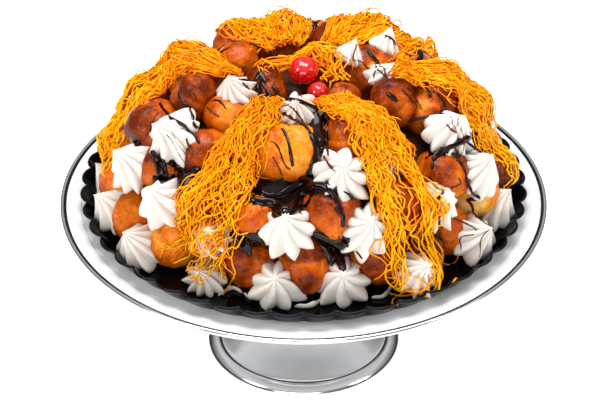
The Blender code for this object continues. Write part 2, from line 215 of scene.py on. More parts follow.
PLATE_STEEL = spun_steel("satin_worn_stainless_steel", "#F3F3F4", 0.90, 0.10)
MIRROR_STEEL = spun_steel("mirror_polished_stainless_steel", "#D9D9D8", 0.15, 0.012)
# The darker grey of the underside and the curled edge is painted shade and dark reflection.
SHADED_UNDER_STEEL = spun_steel("unpolished_steel_with_painted_shade", "#B2B3B6", 0.45, 0.10)
# The near-black crease steel is a painted dark line for the shade and dark reflections in the creases.
PAINTED_CREASE_SHADE_STEEL = spun_steel("steel_with_painted_crease_shade", "#2B2C30", 0.35, 0.05)
print("steel:", PLATE_STEEL.name, MIRROR_STEEL.name, SHADED_UNDER_STEEL.name, PAINTED_CREASE_SHADE_STEEL.name)

# %% [markdown]
# ## The stand's shape
#
# A spun stand is a solid of revolution, so its look is one outline turned round the axis. The packed
# solids have the same outline in a few straight steps. Here the curves between those steps are
# drawn in full: a Catmull-Rom spline goes through each named point, and corners that are sharp on
# the real thing are repeated, so that the spline breaks there.

# %% Turn an outline round the axis
def spline(points, steps):
    """A smooth line through points; a point given twice in a row stays a corner."""
    p = np.asarray(points, float)
    line = []
    for i in range(len(p) - 1):
        if np.allclose(p[i], p[i + 1]):
            continue
        a = p[i - 1] if i > 0 else p[i]
        d = p[i + 2] if i + 2 < len(p) else p[i + 1]
        for k in range(steps):
            t = k / steps
            line.append(0.5 * ((2 * p[i]) + (p[i + 1] - a) * t
                               + (2 * a - 5 * p[i] + 4 * p[i + 1] - d) * t ** 2
                               + (3 * p[i] - a - 3 * p[i + 1] + d) * t ** 3))
    line.append(p[-1])
    return np.array(line)


def turned(outline, around, ripple=None):
    """Corners and faces of a closed outline that starts and ends on the axis."""
    angles = np.linspace(0.0, math.tau, around, endpoint=False)
    rows = outline[1:-1]
    radius = np.repeat(rows[:, :1], around, axis=1)
    if ripple is not None:
        radius = radius - ripple(angles)[None, :] * rows[:, 2:3]
    grid = np.stack([radius * np.cos(angles), radius * np.sin(angles),
                     np.repeat(rows[:, 1:2], around, axis=1)], axis=-1).reshape(-1, 3)
    corners = np.vstack([grid, [0, 0, outline[0][1]], [0, 0, outline[-1][1]]])
    first, last, end = len(grid), len(grid) + 1, len(grid) - around
    faces = grid_quads(len(rows), around, True).tolist()
    for i in range(around):
        j = (i + 1) % around
        faces += [[first, j, i], [last, end + i, end + j]]
    return corners, faces


def turned_ring(profile, around):
    """Corners and faces of a closed profile turned round the axis."""
    profile = np.asarray(profile)
    angles = np.linspace(0.0, math.tau, around, endpoint=False)
    grid = np.stack([np.outer(profile[:, 0], np.cos(angles)), np.outer(profile[:, 0], np.sin(angles)),
                     np.repeat(profile[:, 1:2], around, axis=1)], axis=-1).reshape(-1, 3)
    return grid, grid_quads(len(profile), around, True, True)


def ring_arc(cr, cz, radius, start, end, steps):
    """Points of an arc in the outline's plane."""
    angles = np.radians(np.linspace(start, end, steps + 1))
    return [(cr + radius * math.cos(a), cz + radius * math.sin(a)) for a in angles]


# %% The plate and the foot
plate_low, plate_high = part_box("stand_plate")
foot_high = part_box("stand_foot")[1]
PLATE_R = max(plate_high.x, plate_high.y) / MM + 0.4
PLATE_UNDER = plate_low.z / MM
PLATE_TOP = PLATE_UNDER + 1.2
FOOT_R = foot_high.x / MM
FOOT_TOP = foot_high.z / MM

BEAD = 1.7                  # radius of the rolled rim
PLATE_SIDES, FOOT_SIDES = 200, 160      # corners round the plate and round the foot
bead_z = PLATE_TOP + 1.1
underside = [(148, PLATE_UNDER), (163, PLATE_UNDER + 0.5), (PLATE_R - 4.2, PLATE_UNDER + 1.3)]
middle = [(PLATE_R - 4.2, PLATE_UNDER + 1.9), (163, PLATE_UNDER + 1.1), (148, PLATE_UNDER + 0.6)]
topside = [(PLATE_R - 3.4, bead_z + 0.2), (PLATE_R - 4.4, bead_z + 0.35), (PLATE_R - 9, PLATE_TOP + 1.0),
           (160, PLATE_TOP + 0.35), (150, PLATE_TOP), (60, PLATE_TOP), (0, PLATE_TOP)]

hub = [(0, middle[-1][1])]
corners, faces = turned(np.vstack([hub, middle[::-1], spline(topside, 8)]), PLATE_SIDES)
add_piece("cake_stand_plate", corners, faces, PLATE_STEEL, ["stand_plate"])
corners, faces = turned(np.vstack([[(0, PLATE_UNDER)], underside, middle, hub]), PLATE_SIDES)
add_piece("cake_stand_plate_underside", corners, faces, SHADED_UNDER_STEEL, ["stand_plate"])
corners, faces = turned_ring(ring_arc(PLATE_R - BEAD, bead_z, BEAD, 0, 345, 23), PLATE_SIDES)
add_piece("cake_stand_rolled_rim", corners, faces, MIRROR_STEEL, ["stand_plate"])
corners, faces = turned_ring(ring_arc(PLATE_R - BEAD - 2.3, bead_z + 0.35, 0.65, 0, 315, 7), PLATE_SIDES)
add_piece("cake_stand_rim_crease", corners, faces, PAINTED_CREASE_SHADE_STEEL, ["stand_plate"])
corners, faces = turned_ring(ring_arc(PLATE_R - 1.3, bead_z - 1.0, 0.85, 0, 315, 7), PLATE_SIDES)
add_piece("cake_stand_curled_edge", corners, faces, SHADED_UNDER_STEEL, ["stand_plate"])

foot_outline = spline([
    (0, 1.0), (FOOT_R - 9.0, 1.0), (FOOT_R - 9.0, 1.0), (FOOT_R - 8.0, 0.0), (FOOT_R - 8.0, 0.0),
    (FOOT_R - 1.2, 0.0), (FOOT_R - 1.2, 0.0), (FOOT_R - 0.3, 0.5), (FOOT_R, 1.6), (FOOT_R - 1.2, 3.6),
    (FOOT_R - 4.2, 5.7), (FOOT_R - 6.8, 6.3), (FOOT_R - 8.6, 5.9), (FOOT_R - 9.6, 5.2),
    (FOOT_R - 9.6, 5.2), (FOOT_R - 12.0, 5.6), (54.0, 8.4), (42.0, 15.0), (32.0, 24.0), (24.0, 35.0),
    (18.4, 48.0), (15.6, 62.0), (15.0, 76.0), (16.2, 90.0), (20.0, 103.0), (27.0, 113.0),
    (36.0, 119.6), (45.0, FOOT_TOP), (45.0, FOOT_TOP), (0, FOOT_TOP)], 5)
corners, faces = turned(foot_outline, FOOT_SIDES)
add_piece("cake_stand_foot", corners, faces, MIRROR_STEEL, ["stand_foot"])
corners, faces = turned_ring(ring_arc(FOOT_R - 9.9, 5.0, 0.75, 0, 315, 7), FOOT_SIDES)
add_piece("cake_stand_foot_crease", corners, faces, PAINTED_CREASE_SHADE_STEEL, ["stand_foot"])
print("stand: plate", round(2 * PLATE_R), "mm across, foot", round(2 * FOOT_R), "mm across")

# %% [markdown]
# ## The tray
#
# Under the cake is a black bakery tray, thermoformed from a polystyrene sheet. Its wall is fluted
# like a tart tin, and its lip is rolled over. Polystyrene straight off a polished mould is glossy,
# with an IOR of about 1.59, and heat leaves a faint orange-peel a few millimetres wide. The flutes
# are geometry: a ring of 44 arcs whose depth grows from the floor to the lip.

# %% Thermoformed black polystyrene
SHEET_WAVE = 4.0            # mm between the soft dents of the formed sheet
GREASE = 16.7               # mm between the greasy patches left by the food

BLACK_TRAY, tree, shader, where = start_material(
    "glossy_black_polystyrene", Base_Color=linear("#050506"), IOR=1.59, Specular_IOR_Level=0.12)
dents = add_node(tree, "ShaderNodeTexNoise", {}, {"Scale": repeats(SHEET_WAVE), "Detail": 1.0},
                 {"Vector": where})
grease = add_node(tree, "ShaderNodeTexNoise", {}, {"Scale": repeats(GREASE), "Detail": 5.0},
                  {"Vector": where})
shine = add_node(tree, "ShaderNodeMapRange", {}, span(0.06, 0.2, 0.35, 0.7), {"Value": grease})
relief = add_node(tree, "ShaderNodeBump", {}, {"Strength": 0.12, "Distance": 0.0004}, {"Height": dents})
feed(tree, shader, Roughness=shine, Normal=relief)
print("plastic:", BLACK_TRAY.name)

# %% The fluted tray
tray_low, tray_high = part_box("tray")
TRAY_R = tray_high.x / MM
TRAY_BOTTOM = tray_low.z / MM
TRAY_LIP = tray_high.z / MM
FLOOR = TRAY_BOTTOM + 1.0   # height the food stands on
TRAY_FLOOR_R = TRAY_R - 12.0
SCALLOPS = 44
SCALLOP_DEPTH = 4.2
CORNERS_PER_SCALLOP = 12


def flutes(angles):
    """Depth of the flutes: 0 at the tip of an arc, the full depth at the crease between two."""
    phase = (angles * SCALLOPS / math.tau) % 1.0
    return SCALLOP_DEPTH * np.abs(2.0 * phase - 1.0) ** 2.2


lip = np.array([(r, z, 1.0) for r, z in ring_arc(TRAY_R - 1.1, TRAY_LIP - 1.1, 1.1, 165, -60, 9)])
# Each point is a radius, a height and its share of the flutes' depth.
wall_in = np.array([(0, FLOOR, 0), (90, FLOOR, 0), (TRAY_FLOOR_R - 6, FLOOR, 0.0),
                    (TRAY_FLOOR_R - 1, FLOOR + 0.3, 0.15), (TRAY_FLOOR_R + 1.6, FLOOR + 1.8, 0.35),
                    (TRAY_FLOOR_R + 5.0, FLOOR + 5.6, 0.7), (TRAY_FLOOR_R + 8.4, TRAY_LIP - 2.4, 0.95)])
wall_out = np.array([(TRAY_FLOOR_R + 9.4, TRAY_LIP - 3.2, 0.95), (TRAY_FLOOR_R + 6.0, FLOOR + 4.4, 0.7),
                     (TRAY_FLOOR_R + 2.4, TRAY_BOTTOM + 0.5, 0.3),
                     (TRAY_FLOOR_R + 0.6, TRAY_BOTTOM, 0.1), (90, TRAY_BOTTOM, 0), (0, TRAY_BOTTOM, 0)])
corners, faces = turned(np.vstack([wall_in, lip, wall_out]), SCALLOPS * CORNERS_PER_SCALLOP, flutes)
add_piece("scalloped_tray", corners, faces, BLACK_TRAY, ["tray"])
print("tray:", round(2 * TRAY_R), "mm across,", SCALLOPS, "flutes")

# %% [markdown]
# ## Where every puff and rosette is
#
# The heap is a dome of choux puffs with cream rosettes piped into the dimples. Each shown piece has
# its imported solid, and its place and size are read back from that solid: the centre of the corners,
# and how far most of them lie from it. On a rosette's solid all the flutes meet in two corners, the
# foot and the tip, and the line through them is the way the rosette points.

# %% Read the pieces back from the frame
def flute_ends(node):
    """The two corners of a rosette's solid where all its flutes meet."""
    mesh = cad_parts[node].data
    share = {}
    for polygon in mesh.polygons:
        for index in polygon.vertices:
            key = tuple(np.round(np.array(mesh.vertices[index].co) / MM, 2))
            share[key] = share.get(key, 0) + 1
    meeting = sorted(share, key=share.get)[-2:]
    return [np.array(p) for p in meeting]


HEAP_MIDDLE = np.array([0.0, 0.0, FLOOR])
ROSETTE_TALL = 1.64         # height of a rosette's solid in its own radii
heap = []                   # dicts of name, kind, centre, radius and axis
for node in sorted(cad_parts):
    kind = node.split("_")[0]
    if kind not in ("puff", "rosette"):
        continue
    points = np.unique(np.round(corners_of(node), 2), axis=0)
    centre = points.mean(axis=0)
    if kind == "puff":
        size = np.percentile(np.linalg.norm(points - centre, axis=1), 70)
        axis = unit(centre - HEAP_MIDDLE)
    else:
        foot, tip = sorted(flute_ends(node), key=lambda p: np.dot(p - centre, centre - HEAP_MIDDLE))
        axis = unit(tip - foot)
        aside = points - foot
        aside = aside - np.outer(aside @ axis, axis)
        size = max(np.percentile(np.linalg.norm(aside, axis=1), 80),
                   np.linalg.norm(tip - foot) / ROSETTE_TALL)
        centre = tip - axis * size * 1.02
    heap.append({"name": node, "kind": kind, "centre": centre, "size": size, "axis": axis,
                 "node": node})
print("heap:", len(heap), "pieces read back, sizes",
      sorted({round(float(2 * p["size"])) for p in heap}))

# %% [markdown]
# ## The rest of the dome
#
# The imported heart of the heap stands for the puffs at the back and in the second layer, joined in
# one solid. Here they become real puffs and rosettes again, laid on the same dome by azimuth, climb
# and size. A few small ones fill dimples in front. New pieces are then pushed apart from the packed
# ones, as in a heap built by hand.

# %% Fill the dome
DOME_AX, DOME_AY, DOME_H = 129.0, 115.0, 97.0
DOME_POWER = 2.6            # 2 is an ellipsoid, more makes squarer shoulders


def on_dome(azimuth, climb, out=0.0):
    """Centre of a piece on the dome: azimuth round it and climb from the tray to the crown."""
    a, c = math.radians(azimuth), math.radians(climb)
    ring = math.cos(c) ** (2.0 / DOME_POWER)
    ring /= math.hypot(math.cos(a) / (DOME_AX + out), math.sin(a) / (DOME_AY + out))
    high = (DOME_H + 0.85 * out) * math.sin(c) ** (2.0 / DOME_POWER)
    return np.array([ring * math.cos(a), ring * math.sin(a), FLOOR + high])


def dome_normal(p):
    high = max(p[2] - FLOOR, 4.0)
    return unit([p[0] / DOME_AX ** 2, p[1] / DOME_AY ** 2, 0.55 * high / DOME_H ** 2])


FRONT_PUFFS = [(236, 8, 37), (246, 71, 30), (46, 46, 33), (176, 17, 33)]
BACK_PUFFS = [(148, 67, 34), (195, 82, 32), (315, 80, 32), (65, 82, 32)]
BACK_PUFFS += [(14 + 19 * k, 8, 39 + 3 * (k % 2)) for k in range(9)]
BACK_PUFFS += [(12 + 22 * k, 29, 41 - 2 * (k % 2)) for k in range(8)]
BACK_PUFFS += [(azimuth, 46, 38) for azimuth in (22, 52, 84, 148)]
FRONT_ROSETTES = [(238, 3, 30, 9), (239, 18, 30, 11), (308, 5, 32, 9), (31, 69, 22, 12),
                  (27, 78, 20, 12)]
BACK_ROSETTES = [(23.5 + 38 * k, 5, 38, 9) for k in range(4)]
BACK_ROSETTES += [(50 + 31 * k, 26, 37, 12) for k in range(3)]


def add_to_heap(name, kind, centre, size):
    axis = dome_normal(centre)
    if kind == "rosette":   # piped into a dimple: it stands up rather than out
        steep = max(math.asin(axis[2]), math.radians(52.0))
        flat = unit([axis[0], axis[1], 0.0])
        axis = flat * math.cos(steep) + np.array([0, 0, math.sin(steep)])
    heap.append({"name": name, "kind": kind, "centre": centre, "size": size, "axis": axis,
                 "node": None})


for i, (azimuth, climb, size) in enumerate(FRONT_PUFFS + BACK_PUFFS):
    add_to_heap(f"filler_puff_{i + 1:02d}", "puff", on_dome(azimuth, climb, -1.0), size / 2)
for i, (azimuth, climb, size, out) in enumerate(FRONT_ROSETTES + BACK_ROSETTES):
    add_to_heap(f"filler_rosette_{i + 1:02d}", "rosette", on_dome(azimuth, climb, out), size / 2)
print("heap:", len(heap), "pieces with the back and the fillers")

# %% Push the new pieces apart
CLOSE = 0.84                # how far apart two neighbours stand, as a share of their radii
SETTLING = 30               # rounds of pushing apart


def reach(piece):
    """Radius that a piece takes up among its neighbours."""
    return piece["size"] * (1.0 if piece["kind"] == "puff" else 0.8)


for _ in range(SETTLING):
    for piece in heap:
        if piece["node"]:
            continue
        for other in heap:
            apart = piece["centre"] - other["centre"]
            gap = np.linalg.norm(apart)
            want = CLOSE * (reach(piece) + reach(other))
            if 1e-6 < gap < want:
                piece["centre"] = piece["centre"] + apart / gap * (want - gap) * 0.3
        piece["centre"][2] = max(piece["centre"][2], FLOOR + 0.8 * reach(piece))
print("top of the highest piece:", round(max(float(p["centre"][2] + p["size"]) for p in heap)), "mm")

# %% [markdown]
# ## Choux: the shape
#
# A choux puff rises fast and bursts, so it is never a ball: three to six lobes swell out of it, with
# creases where they meet, and its skin is wrinkled. Each lobe is a sphere set off centre, and the
# puff's surface is the furthest lobe in each direction, with the crease rounded by a soft maximum.
# Noise at two sizes adds the dents and wrinkles. Where a puff is pressed on a neighbour it goes
# flat along the plane between the two, which keeps the puffs from cutting deep into each other.

# %% Directions over a sphere
def ball(n):
    """Even directions and outward quads: a cube of n by n squares a side, blown up to a sphere."""
    line = np.tan(np.linspace(-math.pi / 4, math.pi / 4, n + 1))
    u, v = np.meshgrid(line, line, indexing="ij")
    one = np.ones_like(u)
    sides = [(u, v, one), (v, u, -one), (one, u, v), (-one, v, u), (v, one, u), (u, -one, v)]
    points = unit(np.concatenate([np.stack(s, -1).reshape(-1, 3) for s in sides]))
    _, index, inverse = np.unique(np.round(points * 1e4).astype(int), axis=0,
                                  return_index=True, return_inverse=True)
    quads = [grid_quads(n + 1, n + 1)[:, [0, 3, 2, 1]] + side * (n + 1) ** 2 for side in range(6)]
    quads = inverse.ravel()[np.concatenate(quads)]
    directions = points[index]
    middle = directions[quads].mean(axis=1)
    normal = np.cross(directions[quads[:, 1]] - directions[quads[:, 0]],
                      directions[quads[:, 2]] - directions[quads[:, 0]])
    inward = (normal * middle).sum(axis=1) < 0
    quads[inward] = quads[inward][:, ::-1]
    return directions, quads


def fractal(points, wavelength, octaves=3, seed=0.0):
    """Smooth noise from about -1 to 1 at points in mm, largest bumps one wavelength wide."""
    shift = Vector((seed, 1.7 * seed, -0.6 * seed))
    return np.array([noise.fractal(Vector(p) / wavelength + shift, 0.9, 2.0, octaves)
                     for p in points])


# %% Press a piece among its neighbours
CHERRIES = []
for node in ("cherry_crown", "cherry_tucked"):
    points = corners_of(node)
    middle = 0.5 * (points.min(axis=0) + points.max(axis=0))
    CHERRIES.append((node, middle, 0.5 * (points.max(axis=0) - points.min(axis=0))[0]))
print("cherries:", [round(2.0 * float(radius), 1) for _, _, radius in CHERRIES], "mm across")


def room(piece, directions, over=0.0):
    """How far a piece may reach in each direction before its neighbours, the tray or a cherry.

    Soft pieces bite into each other and cream is piped over puffs, by as many mm as over says.
    """
    limit = np.full(len(directions), 1e3)
    planes = [(np.array([0.0, 0.0, -1.0]), piece["centre"][2] - FLOOR - 0.15)]
    for other in heap:
        apart = other["centre"] - piece["centre"]
        gap = np.linalg.norm(apart)
        if other is piece or gap > 2.2 * (reach(piece) + reach(other)):
            continue
        cut = (gap ** 2 + reach(piece) ** 2 - reach(other) ** 2) / (2.0 * gap)
        planes.append((apart / gap, max(cut, 0.25 * gap) - 0.1 + over))
    for _, middle, radius in CHERRIES:
        apart = middle - piece["centre"]
        gap = np.linalg.norm(apart)
        planes.append((apart / gap, gap - radius * 0.96))
    for normal, distance in planes:
        facing = directions @ normal
        limit = np.minimum(limit, np.where(facing > 0.02, distance / np.maximum(facing, 0.02), 1e3))
    return limit


def soft_min(a, b, sharp):
    return (a ** -sharp + b ** -sharp) ** (-1.0 / sharp)


# %% [markdown]
# ## Choux: the crust
#
# Choux is flour, butter and egg, and it browns from the outside: pale tan in the creases that opened
# late, golden on the shoulders, deep brown on the crown. It is brushed with egg and syrup, so it has
# a broken gloss over a dull crust, an IOR near 1.45, and it lets a little light in. Tone is worked
# out with the shape and says how browned each spot is. Noise 9 mm wide mottles it, specks 1 mm wide
# are the fine blisters, and both also drive the roughness and the relief.

# %% Egg-washed choux crust
MOTTLE = 9.0                # mm between darker and lighter patches
BLISTER = 1.3               # mm between the fine blisters of the skin

CHOUX, tree, shader, where = start_material(
    "egg_washed_choux_crust", IOR=1.45, Specular_IOR_Level=0.12, Coat_Weight=0.14, Coat_Roughness=0.07,
    Subsurface_Weight=0.05, Subsurface_Scale=0.003, Subsurface_Radius=(1.0, 0.45, 0.2))
tone = add_node(tree, "ShaderNodeAttribute", {"attribute_name": "tone"})
mottle = add_node(tree, "ShaderNodeTexNoise", {},
                  {"Scale": repeats(MOTTLE), "Detail": 5.0, "Roughness": 0.62}, {"Vector": where})
blisters = add_node(tree, "ShaderNodeTexNoise", {},
                    {"Scale": repeats(BLISTER), "Detail": 3.0, "Roughness": 0.6}, {"Vector": where})
patchy = add_node(tree, "ShaderNodeMapRange", {}, span(-0.17, 0.17), {"Value": mottle})
specks = add_node(tree, "ShaderNodeMapRange", {}, span(-0.08, 0.08), {"Value": blisters})
browned = add_node(tree, "ShaderNodeMath", {"operation": "ADD"}, {},
                   {0: tone.outputs["Fac"], 1: patchy})
browned = add_node(tree, "ShaderNodeMath", {"operation": "ADD"}, {}, {0: browned, 1: specks})
crust = add_node(tree, "ShaderNodeValToRGB", links={"Fac": browned},
                 stops=[(0.0, "#F2C070"), (1.0, "#5E1C00"), (0.22, "#EAA236"), (0.42, "#DE7E10"),
                        (0.62, "#C45804"), (0.82, "#983A00")])
dull = add_node(tree, "ShaderNodeMapRange", {}, span(0.26, 0.5, 0.35, 0.7), {"Value": mottle})
skin = add_node(tree, "ShaderNodeBump", {}, {"Strength": 0.35, "Distance": 0.0007},
                {"Height": blisters})
wrinkle = add_node(tree, "ShaderNodeBump", {}, {"Strength": 0.5, "Distance": 0.0016},
                   {"Height": mottle, "Normal": skin})
feed(tree, shader, Base_Color=crust, Roughness=dull, Normal=wrinkle)
print("crust:", CHOUX.name, "with", len(tree.nodes), "nodes")

# %% [markdown]
# The puffs come from one batch, but each lay somewhere else in the oven. Those in front have their
# browning set by name, and the others take a random one. Puffs at the back are seen from further
# off, so their meshes are coarser.

# %% Shape one puff
# How browned some of the puffs in front are, from 0 for pale tan to 1 for deep brown.
BROWNED = {"puff_top_03": 0.38, "puff_high_04": 0.20, "puff_low_09": 0.22, "puff_low_02": 0.36,
           "puff_low_03": 0.36, "puff_low_01": 0.45, "puff_low_04": 0.70, "puff_low_05": 0.72,
           "puff_low_06": 0.70, "puff_mid_03": 0.50, "puff_mid_04": 0.66, "puff_top_04": 0.62,
           "puff_high_01": 0.64, "puff_high_03": 0.70, "puff_mid_06": 0.60, "puff_low_08": 0.60}
BAKED = 0.11                # how much browner the whole batch is
PRESS_IN = 1.6              # mm that two puffs bite into each other
LOBE_JOIN = 34.0            # how sharply two lobes meet
CREASE = 0.058              # depth of the crease between lobes, as a share of the radius
DENT, WRINKLE = 15.0, 6.0   # mm between the dents and between the wrinkles
DENT_DEEP, WRINKLE_HIGH = 0.048, 0.95       # a share of the radius, and mm
SEEN_TO = 40.0              # mm behind the middle, where the finer meshes end
BALL_FINE = ball(20)
BALL_COARSE = ball(13)
print("corners of a puff:", len(BALL_FINE[0]), "in front,", len(BALL_COARSE[0]), "at the back")


def choux_puff(piece, seed, grid):
    """Corners of a puff round its centre, and how browned each one is."""
    rnd = np.random.default_rng(seed)
    directions, quads = grid
    reaches = []
    for _ in range(rnd.integers(3, 7)):
        off = unit(rnd.normal(size=3)) * rnd.uniform(0.14, 0.38)
        lobe = rnd.uniform(0.68, 0.82)
        along = directions @ off
        reaches.append(along + np.sqrt(along ** 2 - off @ off + lobe ** 2))
    lobes = np.log(sum(np.exp(LOBE_JOIN * r) for r in reaches)) / LOBE_JOIN
    inner = np.sort(np.stack(reaches), axis=0)
    crease = np.clip(1.0 - (inner[-1] - inner[-2]) / 0.08, 0.0, 1.0)
    lobes = lobes / lobes.mean() - CREASE * crease ** 2
    spots = directions * piece["size"]
    dents = fractal(spots, DENT, 3, seed)
    wrinkles = 1.0 - np.abs(fractal(spots * [1.0, 1.0, 0.6], WRINKLE, 3, seed + 50.0))
    radius = piece["size"] * lobes * (1.0 + DENT_DEEP * dents) * (1.0 - 0.06 * np.abs(directions[:, 2]))
    radius = radius + WRINKLE_HIGH * wrinkles ** 3
    pressed = soft_min(radius, room(piece, directions, PRESS_IN), 15.0)
    turned_out = directions @ piece["axis"]
    base = BAKED + BROWNED.get(piece["name"], rnd.uniform(0.45, 0.75))
    tone = base + 0.12 * turned_out + 0.16 * dents - 0.22 * crease * rnd.uniform(0.2, 1.2)
    tone = tone + 0.35 * (lobes - 1.0)
    pale = unit(rnd.normal(size=3) + [0.3, -0.6, 0.5])
    late = np.clip((directions @ pale + 0.25 * dents - rnd.uniform(0.35, 0.8)) / 0.18, 0.0, 1.0)
    tone = tone - 0.26 * late * rnd.uniform(0.3, 1.0)
    return piece["centre"] + directions * pressed[:, None], quads, tone


# %% Make the puffs
shown_food = []             # corners and quads of everything that threads and sauce can lie on
for number, piece in enumerate(heap):
    if piece["kind"] != "puff":
        continue
    front = piece["centre"][1] < SEEN_TO
    corners, quads, tone = choux_puff(piece, 300 + number, BALL_FINE if front else BALL_COARSE)
    shown_food.append((corners, quads))
    add_piece("choux_" + piece["name"], corners, quads, CHOUX,
              [piece["node"]] if piece["node"] else (), tone)
print("puffs:", len(shown_food))

# %% [markdown]
# ## Cream rosettes
#
# The rosettes are whipped cream piped through a closed star nozzle: eight to ten deep flutes with
# sharp crests run from a wide foot up to a point, with a slight twist from the turn of the wrist.
# Modelling each flute by hand would be slow, and a bump map can't give the toothed outline. So a
# profile is turned round the axis, and a zigzag wave cuts the valleys: pointed teeth at the foot, fat
# petals with narrow creases higher up. Whipped cream is fat and air: white with a little yellow, matt
# to silky, and light spreads some millimetres inside.

# %% Piped whipped cream
AIR_BUBBLE = 0.9            # mm between the tiny bubbles of the foam as drawn
FAT_PATCH = 11.1            # mm between the slightly yellower patches of butterfat

CREAM, tree, shader, where = start_material(
    "piped_whipped_cream", IOR=1.42, Subsurface_Weight=0.22, Subsurface_Scale=0.003,
    Subsurface_Radius=(1.0, 0.85, 0.65))
foam = add_node(tree, "ShaderNodeTexNoise", {}, {"Scale": repeats(AIR_BUBBLE), "Detail": 2.0},
                {"Vector": where})
fat = add_node(tree, "ShaderNodeTexNoise", {}, {"Scale": repeats(FAT_PATCH), "Detail": 2.0},
               {"Vector": where})
whites = add_node(tree, "ShaderNodeValToRGB", links={"Fac": fat},
                  stops=[(0.3, "#DCD5CC"), (0.7, "#E6E0D8")])
silk = add_node(tree, "ShaderNodeMapRange", {}, span(0.36, 0.52), {"Value": fat})
fine = add_node(tree, "ShaderNodeBump", {}, {"Strength": 0.12, "Distance": 0.0003}, {"Height": foam})
feed(tree, shader, Base_Color=whites, Roughness=silk, Normal=fine)
print("cream:", CREAM.name, "with", len(tree.nodes), "nodes")

# %% Shape one rosette
ROSETTE_SIDE = [(0.02, -0.60), (0.76, -0.59), (1.04, -0.48), (1.16, -0.33), (1.12, -0.16), (0.97, 0.04),
                (0.78, 0.25), (0.57, 0.48), (0.38, 0.70), (0.20, 0.92), (0.08, 1.08), (0.012, 1.20)]
OVERLAP = 3.0               # mm that a rosette may lie over its neighbours


def axes_round(axis):
    """Two directions square to an axis."""
    side = unit(np.cross(axis, [0.0, 0.0, 1.0]) + np.array([1e-4, 0.0, 0.0]))
    return side, np.cross(axis, side)


def rosette(piece, seed, per_flute, steps):
    """A star of flutes: pointed teeth at the foot, fat petals with sharp creases higher up."""
    rnd = np.random.default_rng(seed)
    flutes_round = int(rnd.integers(8, 11))
    around = flutes_round * per_flute
    outline = spline(ROSETTE_SIDE, steps)
    level = np.linspace(0.0, 1.0, len(outline))[:, None]
    turns = np.linspace(0.0, flutes_round, around, endpoint=False)[None, :]
    which = np.floor(turns + 0.5).astype(int) % flutes_round
    off = 2.0 * np.abs(turns - np.floor(turns + 0.5))      # 0 on a crest, 1 in a crease
    angles = turns / flutes_round * math.tau
    fat_flute = rnd.uniform(0.86, 1.14, flutes_round)[which]
    low_flute = rnd.uniform(-0.06, 0.10, flutes_round)[which]
    petal = 0.95 + 0.75 * np.clip(level * 2.4 - 0.75, 0.0, 1.0)
    depth = 0.34 + 0.02 * np.clip(level * 1.8, 0.0, 1.0)
    radius = outline[:, :1] * (1.0 - depth * off ** petal)
    radius = radius * (1.0 + (fat_flute - 1.0) * (1.0 - level) ** 1.5 * (1.0 - off))
    twist = rnd.choice([-1.0, 1.0]) * rnd.uniform(0.5, 1.0) * level ** 1.3
    spin = rnd.uniform(0.0, math.tau)
    lean = rnd.uniform(-0.16, 0.16, 2)
    x = radius * np.cos(angles + twist + spin) + lean[0] * level ** 3
    y = radius * np.sin(angles + twist + spin) + lean[1] * level ** 3
    height = outline[:, 1:2] + (low_flute - 0.02) * (1.0 - level) ** 2 * (radius > 0.3)
    side, other = axes_round(piece["axis"])
    local = (x[..., None] * side + y[..., None] * other + height[..., None] * piece["axis"])
    local = local.reshape(-1, 3) * piece["size"]
    far = np.linalg.norm(local, axis=1)
    limit = room(piece, unit(local), OVERLAP)
    local = local * np.minimum(1.0, soft_min(far, limit, 18.0) / far)[:, None]
    corners = piece["centre"] + local
    rows = len(outline)
    quads = grid_quads(rows, around, True).tolist()
    quads.append(list(range(around))[::-1])
    quads.append([(rows - 1) * around + n for n in range(around)])
    return corners, quads


# %% Make the rosettes
rosettes = 0
for number, piece in enumerate(heap):
    if piece["kind"] != "rosette":
        continue
    detail = (12, 2) if piece["centre"][1] < SEEN_TO else (6, 1)
    corners, quads = rosette(piece, 700 + number, *detail)
    shown_food.append((corners, quads))
    add_piece("cream_" + piece["name"], corners, quads, CREAM,
              [piece["node"]] if piece["node"] else ())
    rosettes += 1
print("rosettes:", rosettes)

# %% [markdown]
# ## The heart and the cherries
#
# Between the puffs one looks into dark gaps. A lumpy dome just under the outer layer closes them,
# and its near-black brown is painted shade over the choux and chocolate there. The cherries are
# glace cherries: fruit boiled in sugar until it is clear red jelly with a syrup skin. So the
# material is red, lets light in, and has a clear coat.

# %% Heart of the heap
SOAKED_PATCH = 18.2         # mm between the patches that the sauce soaked into
UNDER_PUFFS = 13.0          # mm that the heart lies inside the dome of puffs

# The heart's near-black browns are painted shade for the deep gaps, over the choux and chocolate there.
HEART, tree, shader, where = start_material("choux_and_chocolate_with_painted_shade", IOR=1.45, Roughness=0.35,
                                            Coat_Weight=0.4, Coat_Roughness=0.12)
soak = add_node(tree, "ShaderNodeTexNoise", {}, {"Scale": repeats(SOAKED_PATCH), "Detail": 4.0},
                {"Vector": where})
soaked_and_shaded = add_node(tree, "ShaderNodeValToRGB", links={"Fac": soak},
                  stops=[(0.40, "#1C0C06"), (0.62, "#5A2A0E")])
lumps = add_node(tree, "ShaderNodeBump", {}, {"Strength": 0.6, "Distance": 0.003}, {"Height": soak})
feed(tree, shader, Base_Color=soaked_and_shaded, Normal=lumps)

directions, quads = ball(30)
up = directions[:, 2]
flat = np.hypot(directions[:, 0] / (DOME_AX - UNDER_PUFFS), directions[:, 1] / (DOME_AY - UNDER_PUFFS))
steep = np.abs(up) / (DOME_H - UNDER_PUFFS + 1.0)
radius = (flat ** DOME_POWER + steep ** DOME_POWER) ** (-1.0 / DOME_POWER)
radius = radius * (1.0 + 0.04 * fractal(directions * 100.0, 26.0, 2, 3.0))
corners = directions * radius[:, None]
corners[:, 2] = np.maximum(corners[:, 2], 0.0) + FLOOR + 0.2
add_piece("heap_core", corners, quads, HEART, ["heap_heart"])
print("heart:", np.ptp(corners, axis=0).round(), "mm")

# %% Glace cherries
FLESH_GRAIN = 7.7           # mm between the clearer and denser parts of the flesh

